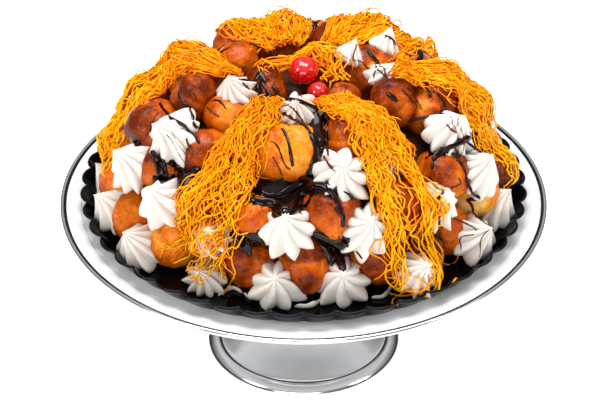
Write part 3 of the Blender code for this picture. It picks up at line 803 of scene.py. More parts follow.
CHERRY, tree, shader, where = start_material(
    "syrup_coated_glace_cherry", IOR=1.45, Coat_Weight=1.0, Coat_Roughness=0.03,
    Subsurface_Weight=0.5, Subsurface_Scale=0.004, Subsurface_Radius=(1.0, 0.12, 0.06))
flesh = add_node(tree, "ShaderNodeTexNoise", {}, {"Scale": repeats(FLESH_GRAIN), "Detail": 2.0},
                 {"Vector": where})
reds = add_node(tree, "ShaderNodeValToRGB", links={"Fac": flesh},
                stops=[(0.35, "#B8000C"), (0.65, "#DC0A14")])
wet = add_node(tree, "ShaderNodeMapRange", {}, span(0.10, 0.22), {"Value": flesh})
dimple = add_node(tree, "ShaderNodeBump", {}, {"Strength": 0.25, "Distance": 0.0006}, {"Height": flesh})
feed(tree, shader, Base_Color=reds, Roughness=wet, Normal=dimple)

for number, (node, middle, radius) in enumerate(CHERRIES):
    directions, quads = ball(16)
    lumpy = 1.0 + 0.05 * fractal(directions * 10.0, 11.0, 2, 20.0 + number)
    scar = np.exp(-((directions[:, 0] - 0.15) ** 2 + directions[:, 1] ** 2) / 0.06)
    lumpy = lumpy - 0.16 * scar * (directions[:, 2] > 0)
    corners = middle + directions * (radius * lumpy)[:, None] * [1.0, 1.0, 0.94]
    shown_food.append((corners, quads))
    add_piece(f"glace_{node}", corners, quads, CHERRY, [node])
print("cherries:", len(CHERRIES), "in", CHERRY.name)

# %% [markdown]
# ## Draping things over the heap
#
# Threads and sauce lie on whatever is below them. A search tree over all the food answers where a
# line from far outside towards the middle of the heap first meets food. The middle is a hub a
# little above the tray. Directions from it are an azimuth, round the heap, and an elevation.

# %% Find the food's surface
HUB = np.array([0.0, 0.0, FLOOR + 20.0])
OUTSIDE = 260.0             # mm from the hub, past everything


def search_tree(meshes):
    """A search tree over meshes that are given as pairs of corners and faces."""
    corners, faces = joined(meshes)
    return BVHTree.FromPolygons(corners.tolist(), faces)


food_tree = search_tree(shown_food)


def toward(azimuth, elevation):
    """Directions from the hub, in degrees."""
    a, e = np.radians(azimuth), np.radians(elevation)
    return np.stack([np.cos(e) * np.cos(a), np.cos(e) * np.sin(a), np.sin(e)], axis=-1)


def plain_reach(direction):
    """Reach of the smooth dome, for directions that meet no food."""
    flat = math.hypot(direction[0] / (DOME_AX + 14.0), direction[1] / (DOME_AY + 14.0))
    return (flat ** 2.4 + (abs(direction[2]) / (DOME_H - 4.0)) ** 2.4) ** (-1.0 / 2.4) - 10.0


def food_reach(directions):
    """How far from the hub the outside of the food is, for an array of directions."""
    found = []
    for direction in directions.reshape(-1, 3):
        far = HUB + direction * OUTSIDE
        hit = food_tree.ray_cast(Vector(far), Vector(-direction))
        reach_here = plain_reach(direction)
        if hit[0] is not None and hit[3] < OUTSIDE - 10.0:
            reach_here = max(reach_here - 12.0, OUTSIDE - hit[3])
        found.append(reach_here)
    return np.array(found).reshape(directions.shape[:-1])


print("food:", sum(len(quads) for _, quads in shown_food), "faces to lie on")

# %% [markdown]
# A thread or a line of sauce is placed most easily as a hand would do it, from the front: so far
# right of a puff's middle and so far up. A line of sight through that spot finds the food there. If
# it passes the food, the spot lies on the tray, or is moved towards the piece's middle.

# %% Find a spot on a piece
LOOK_DOWN = math.radians(34.0)
TOWARD_US = np.array([0.0, -math.cos(LOOK_DOWN), math.sin(LOOK_DOWN)])
UPWARD = np.array([0.0, math.sin(LOOK_DOWN), math.cos(LOOK_DOWN)])
BY_NAME = {piece["name"]: piece for piece in heap}


def spot(name, right, up, on_tray=False):
    """The place right and up of a piece's middle, in its radii, for someone who stands in front."""
    piece = BY_NAME[name]
    furthest = (1.3 + 1.2 * math.hypot(right, up)) * piece["size"]
    for share in (1.0, 0.9, 0.8, 0.7, 0.55, 0.4, 0.2, 0.0):
        start = piece["centre"] + share * piece["size"] * (np.array([right, 0.0, 0.0]) + up * UPWARD)
        start = start + 300.0 * TOWARD_US
        hit = food_tree.ray_cast(Vector(start), Vector(-TOWARD_US))
        if hit[0] is not None and np.linalg.norm(np.array(hit[0]) - piece["centre"]) < furthest:
            return np.array(hit[0])
        if on_tray:
            place = start - TOWARD_US * (start[2] - FLOOR - 0.8) / TOWARD_US[2]
            past = np.clip((np.hypot(place[0], place[1]) - TRAY_FLOOR_R) / 8.0, 0.0, 1.0)
            place[2] = place[2] + past * (TRAY_LIP - FLOOR)
            return place
    return np.array(piece["centre"])


print("the top of the front puff is at", spot("puff_low_04", 0.0, 0.9).round(), "mm")


# %% Lines with even steps
def evenly(points, step):
    """A smooth line through points, with one corner each step."""
    line = spline(points, 10)
    along = np.concatenate([[0.0], np.cumsum(np.linalg.norm(np.diff(line, axis=0), axis=1))])
    at = np.linspace(0.0, along[-1], max(5, int(along[-1] / step)))
    return np.stack([np.interp(at, along, line[:, axis]) for axis in range(3)], axis=-1)


# %% [markdown]
# ## Egg threads: the strands
#
# The orange hanks are egg threads, egg yolk poured through fine holes into boiling syrup. Each
# thread is 1 to 1.4 mm thick, glossy, springy and kinked, and hundreds lie side by side with many
# crossing over. Particle hair would be lost in the export, and a bump map has no loose loops at the
# edges. So every strand is a real line swept into a thin tube, and all tubes of a hank are joined
# in one mesh.

# %% Sweep lines into tubes
def tubes(paths, radii, sides, squash=1.0, tones=None):
    """Joined tubes round lines in mm. A radius or tone is one value per line or per point."""
    corners, quads, caps, tone, start = [], [], [], [], 0
    ring = np.linspace(0.0, math.tau, sides, endpoint=False)
    for number, (path, radius) in enumerate(zip(paths, radii)):
        ahead = unit(np.gradient(path, axis=0))
        out = unit(path - HUB)
        across = unit(np.cross(ahead, out) + 1e-5)
        over = np.cross(across, ahead)
        thick = np.broadcast_to(radius, len(path)).copy()
        thick[[0, -1]] *= 0.45
        ring_points = (across[:, None] * np.cos(ring)[None, :, None]
                       + over[:, None] * (np.sin(ring) * squash)[None, :, None])
        corners.append((path[:, None] + ring_points * thick[:, None, None]).reshape(-1, 3))
        quads.append(grid_quads(len(path), sides, True) + start)
        last = start + (len(path) - 1) * sides
        caps += [[start + n for n in range(sides)][::-1], [last + n for n in range(sides)]]
        shade = 0.5 if tones is None else tones[number]
        tone.append(np.repeat(np.broadcast_to(shade, len(path)), sides))
        start += len(path) * sides
    return np.concatenate(corners), np.concatenate(quads).tolist() + caps, np.concatenate(tone)


# %% [markdown]
# ## Egg threads: the finish
#
# Yolk cooked in syrup is a clear, strong orange-yellow that lets light through, and the syrup left
# on it makes it shine. Tone is different for each strand, so neighbours stand apart, and it is low
# for strands deep in the hank, which keep less light.

# %% Syrup-cooked egg yolk
STREAK = 6.25               # mm between the brighter streaks along a thread

THREADS, tree, shader, where = start_material(
    "syrup_cooked_egg_thread", Roughness=0.36, IOR=1.42, Specular_IOR_Level=0.14,
    Subsurface_Weight=0.08, Subsurface_Scale=0.002, Subsurface_Radius=(1.0, 0.5, 0.08))
tone = add_node(tree, "ShaderNodeAttribute", {"attribute_name": "tone"})
streak = add_node(tree, "ShaderNodeTexNoise", {}, {"Scale": repeats(STREAK), "Detail": 3.0},
                  {"Vector": where})
vary = add_node(tree, "ShaderNodeMapRange", {}, span(-0.15, 0.15), {"Value": streak})
mixed = add_node(tree, "ShaderNodeMath", {"operation": "ADD"}, {}, {0: tone.outputs["Fac"], 1: vary})
yolk = add_node(tree, "ShaderNodeValToRGB", links={"Fac": mixed},
                stops=[(0.0, "#B43A00"), (1.0, "#FFB60C"), (0.3, "#EE7000"), (0.6, "#FF9800")])
knots = add_node(tree, "ShaderNodeBump", {}, {"Strength": 0.3, "Distance": 0.0003}, {"Height": streak})
feed(tree, shader, Base_Color=yolk, Normal=knots)
print("threads:", THREADS.name, "with", len(tree.nodes), "nodes")

# %% [markdown]
# ## Egg threads: the hanks
#
# Each hank runs from the crown down to the tray. Its centre line is chosen as azimuth, elevation
# and half width, close to the route of its imported solid. A strand keeps its own place across the
# hank and its own depth in it, and wanders with three waves: a slow drift, the bends it kept from
# the pan, and small kinks. Lower down the hank opens into a net: strands end at random, more of
# them cross over, and the last ones cling to the puffs.

# %% Routes of the hanks
# Each point is an azimuth and elevation in degrees and a half width in mm.
HANKS = {
    "hank_front_left": [(241, 61, 15), (240, 50, 16), (240, 36, 18), (239, 23, 19),
                        (238, 10, 20), (236, -3, 20)],
    "hank_front_right": [(297, 64, 18), (307, 53, 20), (308, 41, 21), (305, 28, 21),
                         (304, 12, 20), (303, -4, 19)],
    "hank_right": [(-5, 57, 13), (5, 47, 21), (7, 35, 29), (5, 23, 28), (2, 12, 21),
                   (-1, 1, 16)],
    "hank_back_right": [(57, 64, 14), (55, 52, 26), (54, 39, 30), (54, 26, 29), (55, 10, 25),
                        (55, -3, 20)],
    "hank_back_left": [(108, 64, 14), (108, 52, 27), (110, 40, 30), (112, 26, 26),
                       (114, 11, 22), (114, -3, 18)],
    "hank_left": [(191, 63, 13), (171, 51, 23), (161, 40, 29), (163, 28, 29), (171, 16, 22),
                  (179, 5, 15)],
}
STRAND_R = (0.48, 0.72)     # mm, thinnest and thickest strand radius
STEP = 2.1                  # mm between the points of a strand
SPREAD = 1.5                # how far past its half width a hank's surface is mapped


def route(points, t):
    """Azimuth, elevation and half width at t, from 0 at the crown to 1 at the tray."""
    line = spline(points, 12)
    at = np.clip(t, 0.0, 1.0) * (len(line) - 1)
    low = np.minimum(at.astype(int), len(line) - 2)
    share = (at - low)[..., None]
    return np.moveaxis(line[low] * (1.0 - share) + line[low + 1] * share, -1, 0)


def place_on(points, t, s):
    """Azimuth and elevation at t down a hank and s, from -1 to 1, across it."""
    azimuth, elevation, half = route(points, t)
    level = np.maximum(34.0, 132.0 * np.cos(np.radians(elevation)))
    return azimuth + np.degrees(s * half / level), elevation


print("hanks:", {node: f"{2 * points[2][2]} mm wide" for node, points in HANKS.items()})

# %% [markdown]
# Strands are springy. High on the heap they span the dimples between the puffs, and lower down they
# sink into them. So each hank gets two beds, measured on the food: a loose one that follows every
# puff, and a taut one, like a stretched cloth. A strand lies somewhere between the two.

# %% The beds under a hank
def blurred(grid, times):
    for _ in range(times):
        padded = np.pad(grid, 1, mode="edge")
        grid = (padded[:-2, 1:-1] + padded[2:, 1:-1] + padded[1:-1, :-2] + padded[1:-1, 2:]
                + 4.0 * padded[1:-1, 1:-1]) / 8.0
    return grid


def stretched(grid, times):
    """The surface a taut cloth takes: up over bumps, straight across dimples."""
    taut = grid.copy()
    for _ in range(times):
        taut = np.maximum(grid, blurred(taut, 1))
    return taut


def look_up(grid, t, s):
    """Value of a grid over t from 0 to 1 and s from -SPREAD to SPREAD."""
    rows, columns = grid.shape
    x = np.clip(t, 0.0, 1.0) * (rows - 1)
    y = (np.clip(s, -SPREAD, SPREAD) + SPREAD) / (2.0 * SPREAD) * (columns - 1)
    i, j = np.minimum(x.astype(int), rows - 2), np.minimum(y.astype(int), columns - 2)
    u, v = x - i, y - j
    return ((1 - u) * (1 - v) * grid[i, j] + u * (1 - v) * grid[i + 1, j]
            + (1 - u) * v * grid[i, j + 1] + u * v * grid[i + 1, j + 1])


def hank_map(points):
    """Bed that a hank lies on: loose (follows every puff) and taut (bridges the dimples)."""
    t, s = np.meshgrid(np.linspace(0, 1, 70), np.linspace(-SPREAD, SPREAD, 21), indexing="ij")
    azimuth, elevation = place_on(points, t, s)
    bare = food_reach(toward(azimuth, elevation))
    return blurred(bare, 2), blurred(stretched(bare, 60), 3)


# %% One strand
BUNCHES = 9                 # strands cling together in this many bunches across a hank


def kinked(x, wave, phase):
    """A wave from -1 to 1 between a sine and a zigzag."""
    s = np.sin(x / wave * math.tau + phase)
    return 0.6 * s + 0.4 * np.arcsin(s) / (math.pi / 2)


def strand(points, beds, rnd, t0, t1, s0, s1, depth, length, crown, parted):
    """One egg thread from t0 to t1 down the hank, crossing from s0 to s1."""
    count = max(6, int(length * abs(t1 - t0) / STEP))
    k = np.linspace(0.0, 1.0, count)
    t = t0 + (t1 - t0) * k
    run = length * abs(t1 - t0) * k
    half = route(points, t)[2]
    s = s0 + (s1 - s0) * k
    low = np.clip((t - 0.3) / 0.4, 0.0, 1.0)
    s = s + parted * low * np.tanh(6.0 * (s0 + s1)) * np.maximum(0.0, 0.7 - np.abs(s))
    aside = (rnd.uniform(1.0, 4.5) * (0.8 + low) * kinked(run, rnd.uniform(30, 66), rnd.uniform(0, 6.3))
             + rnd.uniform(0.8, 2.9) * kinked(run, rnd.uniform(14, 25), rnd.uniform(0, 6.3))
             + rnd.uniform(0.2, 0.9) * kinked(run, rnd.uniform(6.5, 10), rnd.uniform(0, 6.3)))
    s = s + aside / half
    t = t + rnd.uniform(0.5, 2.2) * np.sin(run / rnd.uniform(8, 15) * math.tau) / length
    azimuth, elevation = place_on(points, t, s)
    loose, taut = look_up(beds[0], t, s), look_up(beds[1], t, s)
    cling = np.clip((t - 0.35) / 0.5, 0.0, 1.0) * (0.4 + 0.6 * (1.0 - depth))
    bed = taut * (1.0 - cling) + loose * cling
    edge = np.clip(1.0 - 0.6 * np.abs(s) ** 3, 0.15, 1.0)
    thick = crown * edge * (1.0 - 0.75 * np.clip(t, 0, 1) ** 1.3)
    lift = rnd.uniform(0.3, 1.5) * kinked(run, rnd.uniform(9, 18), rnd.uniform(0, 6.3))
    high = bed + 0.8 + depth * thick + lift
    if rnd.random() < 0.35:          # a springy loop stands off the hank
        at = rnd.uniform(0.1, 0.9)
        high = high + rnd.uniform(1.5, 4.5) * np.exp(-((k - at) * length * abs(t1 - t0) / 5.0) ** 2)
    path = HUB + toward(azimuth, elevation) * high[:, None]
    path[:, 2] = np.maximum(path[:, 2], FLOOR + 0.9)
    return path


# %% The strands of one hank
def hank_strands(points, seed, amount, crown, parted):
    """Paths, radii and tones of a hank's strands, and the hank's length."""
    rnd = np.random.default_rng(seed)
    beds = hank_map(points)
    t = np.linspace(0, 1, 40)
    azimuth, elevation = place_on(points, t, 0 * t)
    line = HUB + toward(azimuth, elevation) * look_up(beds[1], t, 0 * t)[:, None]
    length = np.linalg.norm(np.diff(line, axis=0), axis=1).sum()
    paths, radii, tones = [], [], []
    bunches = np.linspace(-0.92, 0.92, BUNCHES) + rnd.uniform(-0.1, 0.1, BUNCHES)
    for number in range(amount):
        depth = rnd.random() ** 0.6
        t0 = -0.03 + 0.80 * rnd.random() ** 2.1
        t1 = min(1.02, t0 + 0.15 + 0.58 * rnd.random() ** 1.7)
        crossing = rnd.random() < 0.15 + 0.55 * t0      # lower down the hank opens into a net
        s0 = rnd.choice(bunches) + 0.10 * rnd.normal()
        s1 = s0 + rnd.normal() * (0.9 if crossing else 0.26)
        s1 = float(np.clip(s1, -1.2, 1.2))
        if crossing:
            t1 = min(1.0, t0 + rnd.uniform(0.08, 0.30))
        if t1 - t0 < 0.06:
            continue
        paths.append(strand(points, beds, rnd, t0, t1, s0, s1, depth, length, crown, parted))
        radii.append(rnd.uniform(*STRAND_R))
        bright = 0.10 + 0.55 * depth + rnd.uniform(-0.12, 0.22)
        tones.append(bright + 0.45 * np.linspace(t0, t1, len(paths[-1])) ** 2)
    return paths, radii, tones, length


# %% Lay the hanks
# Each hank has a number of strands, the thickness in mm that they make up at the crown, and how far
# its lower half parts in the middle.
STRANDS = {"hank_front_left": (235, 11.0, 0.15), "hank_front_right": (250, 12.0, 0.75),
           "hank_right": (330, 11.0, 0.1), "hank_back_right": (310, 9.0, 0.1),
           "hank_back_left": (310, 8.0, 0.1), "hank_left": (330, 9.5, 0.1)}
for number, (node, points) in enumerate(HANKS.items()):
    paths, radii, tones, length = hank_strands(points, 40 + number, *STRANDS[node])
    corners, quads, tone = tubes(paths, radii, 3, tones=tones)
    add_piece("egg_threads_" + node, corners, quads, THREADS, [node], tone)
    print(node, len(paths), "strands,", round(length), "mm long,", 2 * len(quads), "triangles")

# %% [markdown]
# ## Egg threads: the nest and the loose ends
#
# Round the cherry the threads lie in loops, like a small nest, and a few ends have fallen on the
# tray. The nest is made of arcs round the crown. The loose ends are placed one by one: each is named
# by the piece it starts on and by how far right and up of that piece's middle it goes.

# %% Where the nest and the loose ends lie
NEST_STRANDS = 60
LOOSE_R = 0.62              # mm, radius of a loose strand
CLEAR_OF_CHERRY = 13.0      # mm from the axis that the nest keeps free
CROWN = FLOOR + 100.0       # height of the nest
LOOSE_ENDS = [
    ("puff_low_06", [(0.3, 0.6), (0.0, 0.45), (-0.2, 0.1), (0.2, -0.15), (0.35, -0.35), (0.25, -0.6),
                     (-0.05, -0.8)]),
    ("puff_low_07", [(0.3, -0.7), (0.35, -1.0), (0.2, -1.2), (-0.2, -1.4), (-0.6, -1.5), (-0.95, -1.45),
                     (-1.2, -1.35)]),
    ("puff_low_07", [(-0.5, -1.3), (-0.7, -1.45), (-0.95, -1.6), (-1.0, -1.8), (-0.8, -1.95),
                     (-1.0, -2.1)]),
    ("puff_low_07", [(0.4, -0.2), (0.55, -0.6), (0.85, -0.8), (1.1, -1.1), (1.35, -1.35), (1.2, -1.5)]),
    ("puff_low_07", [(0.5, 0.4), (0.65, 0.1), (0.85, -0.25), (1.1, -0.4), (1.4, -0.3), (1.5, -0.05)]),
    ("puff_low_07", [(0.0, -0.9), (0.3, -1.1), (0.1, -1.3), (-0.4, -1.25), (-0.7, -1.3), (-0.9, -1.2)]),
    ("puff_low_07", [(0.4, -0.8), (0.6, -1.1), (0.5, -1.4), (0.3, -1.6), (0.0, -1.7)]),
    ("puff_low_04", [(-0.25, 1.2), (-0.3, 1.0), (-0.15, 0.95), (0.05, 1.0)]),
    ("puff_low_04", [(-0.3, 1.1), (-0.45, 0.5), (-0.5, 0.0), (-0.4, -0.35), (-0.6, -0.7),
                     (-0.85, -0.8)]),
    ("puff_low_04", [(-0.8, -0.2), (-0.9, 0.0), (-0.7, 0.2), (-0.55, 0.15), (-0.45, 0.4)]),
    ("puff_top_07", [(-1.3, 0.3), (-1.0, 0.1), (-0.9, -0.3), (-0.4, -0.1), (-0.5, -0.4), (-1.1, -0.5)]),
    ("puff_top_07", [(-0.7, 0.3), (-0.65, -0.1), (-0.45, -0.35), (-0.8, -0.2), (-1.1, -0.15)]),
    ("puff_top_03", [(-0.15, 1.15), (-0.2, 0.9), (-0.5, 0.7), (-0.8, 0.5)]),
    ("puff_top_03", [(-0.75, 0.0), (-0.6, -0.1), (-0.65, -0.5), (-0.8, -0.75), (-0.6, -0.9)]),
]


def over_food(line, lift):
    """A line moved out where it would run inside the food."""
    directions = unit(line - HUB)
    far = np.linalg.norm(line - HUB, axis=1)
    hit = food_reach(directions)
    inside = (hit > far - 6.0) & (line[:, 2] > FLOOR + 3.0)
    far = np.where(inside, np.maximum(far, hit), far) + lift
    return HUB + directions * far[:, None]


# %% Lay the nest and the loose ends
rnd = np.random.default_rng(77)
paths, radii, tones = [], [], []
for _ in range(NEST_STRANDS):
    ring = rnd.uniform(11.0, 28.0)
    start = math.radians(rnd.uniform(-50.0, 200.0))
    sweep = math.radians(rnd.uniform(40.0, 120.0))
    sweep = sweep if start < math.radians(75.0) else -sweep     # the front is left open
    turn = start + np.linspace(0.0, sweep, max(6, int(ring * abs(sweep) / STEP)))
    run = ring * np.abs(turn - start)
    ring = ring + rnd.uniform(2.0, 6.0) * kinked(run, rnd.uniform(18, 34), rnd.uniform(0, 6.3))
    ring = ring + rnd.uniform(0.3, 1.2) * kinked(run, rnd.uniform(6, 9), rnd.uniform(0, 6.3))
    ring = np.maximum(ring, CLEAR_OF_CHERRY)
    spots = np.stack([ring * np.cos(turn), 0.85 * ring * np.sin(turn), 0.0 * ring + CROWN], axis=-1)
    directions = unit(spots - HUB)
    reach_up = food_reach(directions)
    for _ in range(6):
        reach_up[1:-1] = np.maximum(reach_up[1:-1], 0.5 * (reach_up[:-2] + reach_up[2:]))
    reach_up = np.minimum(reach_up, 95.0)
    lift = 0.6 + rnd.uniform(0.0, 3.5) + rnd.uniform(0.2, 1.2) * kinked(run, rnd.uniform(10, 20), 1.0)
    paths.append(HUB + directions * (reach_up + lift)[:, None])
    radii.append(rnd.uniform(*STRAND_R))
    tones.append(rnd.uniform(0.4, 0.85))
for name, bends in LOOSE_ENDS:
    line = over_food(evenly([spot(name, *bend, "_low_" in name) for bend in bends], 1.6), 0.7)
    paths.append(line)
    radii.append(LOOSE_R)
    tones.append(rnd.uniform(0.45, 0.75))
corners, quads, tone = tubes(paths, radii, 4, tones=tones)
add_piece("egg_threads_nest_and_ends", corners, quads, THREADS, tone=tone)
print("nest:", len(paths), "strands")

# %% [markdown]
# ## Dark chocolate: the finish
#
# The sauce is dark chocolate thinned with cream. It is nearly black where it lies thick and red
# brown where a thin line lets light through, and it dries to a smooth, wet-looking gloss with an IOR
# near 1.47. Tone is low for thin lines and high in the pools.

# %% Poured dark chocolate
COCOA_SWIRL = 16.7          # mm between the swirls of darker and lighter sauce

SAUCE, tree, shader, where = start_material(
    "poured_dark_chocolate_sauce", IOR=1.47, Specular_IOR_Level=0.16, Coat_Weight=0.18,
    Coat_Roughness=0.04)
tone = add_node(tree, "ShaderNodeAttribute", {"attribute_name": "tone"})
cocoa = add_node(tree, "ShaderNodeTexNoise", {}, {"Scale": repeats(COCOA_SWIRL), "Detail": 2.0},
                 {"Vector": where})
vary = add_node(tree, "ShaderNodeMapRange", {}, span(-0.12, 0.12), {"Value": cocoa})
mixed = add_node(tree, "ShaderNodeMath", {"operation": "ADD"}, {}, {0: tone.outputs["Fac"], 1: vary})
browns = add_node(tree, "ShaderNodeValToRGB", links={"Fac": mixed},
                  stops=[(0.15, "#5E1E0A"), (0.85, "#120503"), (0.45, "#340F06")])
satin = add_node(tree, "ShaderNodeMapRange", {}, span(0.07, 0.17), {"Value": cocoa})
ripple = add_node(tree, "ShaderNodeBump", {}, {"Strength": 0.35, "Distance": 0.0015}, {"Height": cocoa})
feed(tree, shader, Base_Color=browns, Roughness=satin, Normal=ripple)
print("sauce:", SAUCE.name, "with", len(tree.nodes), "nodes")

# %% [markdown]
# ## Dark chocolate: the puddles
#
# Where much sauce ran together it fills the dimple between two puffs with a smooth, sagging skin.
# That skin is worked out as a cloth: the food's height is measured on a grid of lines of sight, a
# taut cloth is laid on it, and the cloth is sunk by 0.6 mm, so that only the part over the dimple
# shows. Its edge then follows every puff exactly, which a modelled patch wouldn't.

# %% Fill the dimples
SINK = 0.6                  # mm that the skin is sunk into the food round the dimple
# Dimples that filled up: a piece, right and up of its middle, and the size of the dimple in mm.
PUDDLES = [("puff_top_03", 0.05, -1.25, 80, 25), ("puff_top_03", 0.95, 0.5, 17, 36),
           ("puff_low_04", 0.0, 0.85, 32, 17), ("puff_low_05", 0.95, 0.5, 27, 22),
           ("puff_mid_01", -0.15, 0.2, 24, 22), ("puff_mid_01", 0.95, 0.0, 26, 26),
           # The sheet left of puff_high_01 makes a deep gap near-black: partly sauce, partly painted
           # shade.
           ("puff_mid_06", -0.3, 0.8, 18, 20), ("puff_high_01", -0.95, 0.0, 14, 26),
           ("rosette_top_01", 1.6, 0.0, 16, 22)]


def puddle(name, right, up, wide, high):
    """Corners and quads of the sauce in a dimple wide by high mm."""
    piece = BY_NAME[name]
    middle = piece["centre"] + piece["size"] * (np.array([right, 0.0, 0.0]) + up * UPWARD)
    u, v = np.meshgrid(np.arange(-wide / 2.0, wide / 2.0, 1.0), np.arange(-high / 2.0, high / 2.0, 1.0),
                       indexing="ij")
    start = middle + 200.0 * TOWARD_US + u[..., None] * np.array([1.0, 0.0, 0.0]) + v[..., None] * UPWARD
    hits = [food_tree.ray_cast(Vector(p), Vector(-TOWARD_US))[3] for p in start.reshape(-1, 3)]
    height = np.array([-230.0 if hit is None else -min(hit, 230.0) for hit in hits]).reshape(u.shape)
    skin = blurred(stretched(height, 30), 3) - SINK
    past = np.clip((np.hypot(2.0 * u / wide, 2.0 * v / high) - 0.72) / 0.28, 0.0, 1.5)
    skin = skin - 7.0 * past ** 2
    corners = (start + skin[..., None] * TOWARD_US).reshape(-1, 3)
    return corners, grid_quads(*u.shape)[:, [0, 3, 2, 1]]


corners, quads = joined([puddle(*dimple) for dimple in PUDDLES])
add_piece("chocolate_puddles", corners, quads, SAUCE, tone=np.ones(len(corners)))
food_tree = search_tree(shown_food + [(corners, quads)])
print("puddles:", len(PUDDLES), "with", len(quads), "faces")

# %% [markdown]
# ## Dark chocolate: the drizzle
#
# The sauce was poured from a spoon in passes, so it lies in lines over the puffs and the cream and
# runs together in the dimples. Each line is named by a piece that it crosses, its width in mm and
# its bends, right and up of that piece's middle. A plain bevelled curve is as thick as it is wide, so
# each line is laid on the food and swept as a flat tube that swells and thins. Wide lines are then
# fused, and lines too thin for that stay plain tubes.

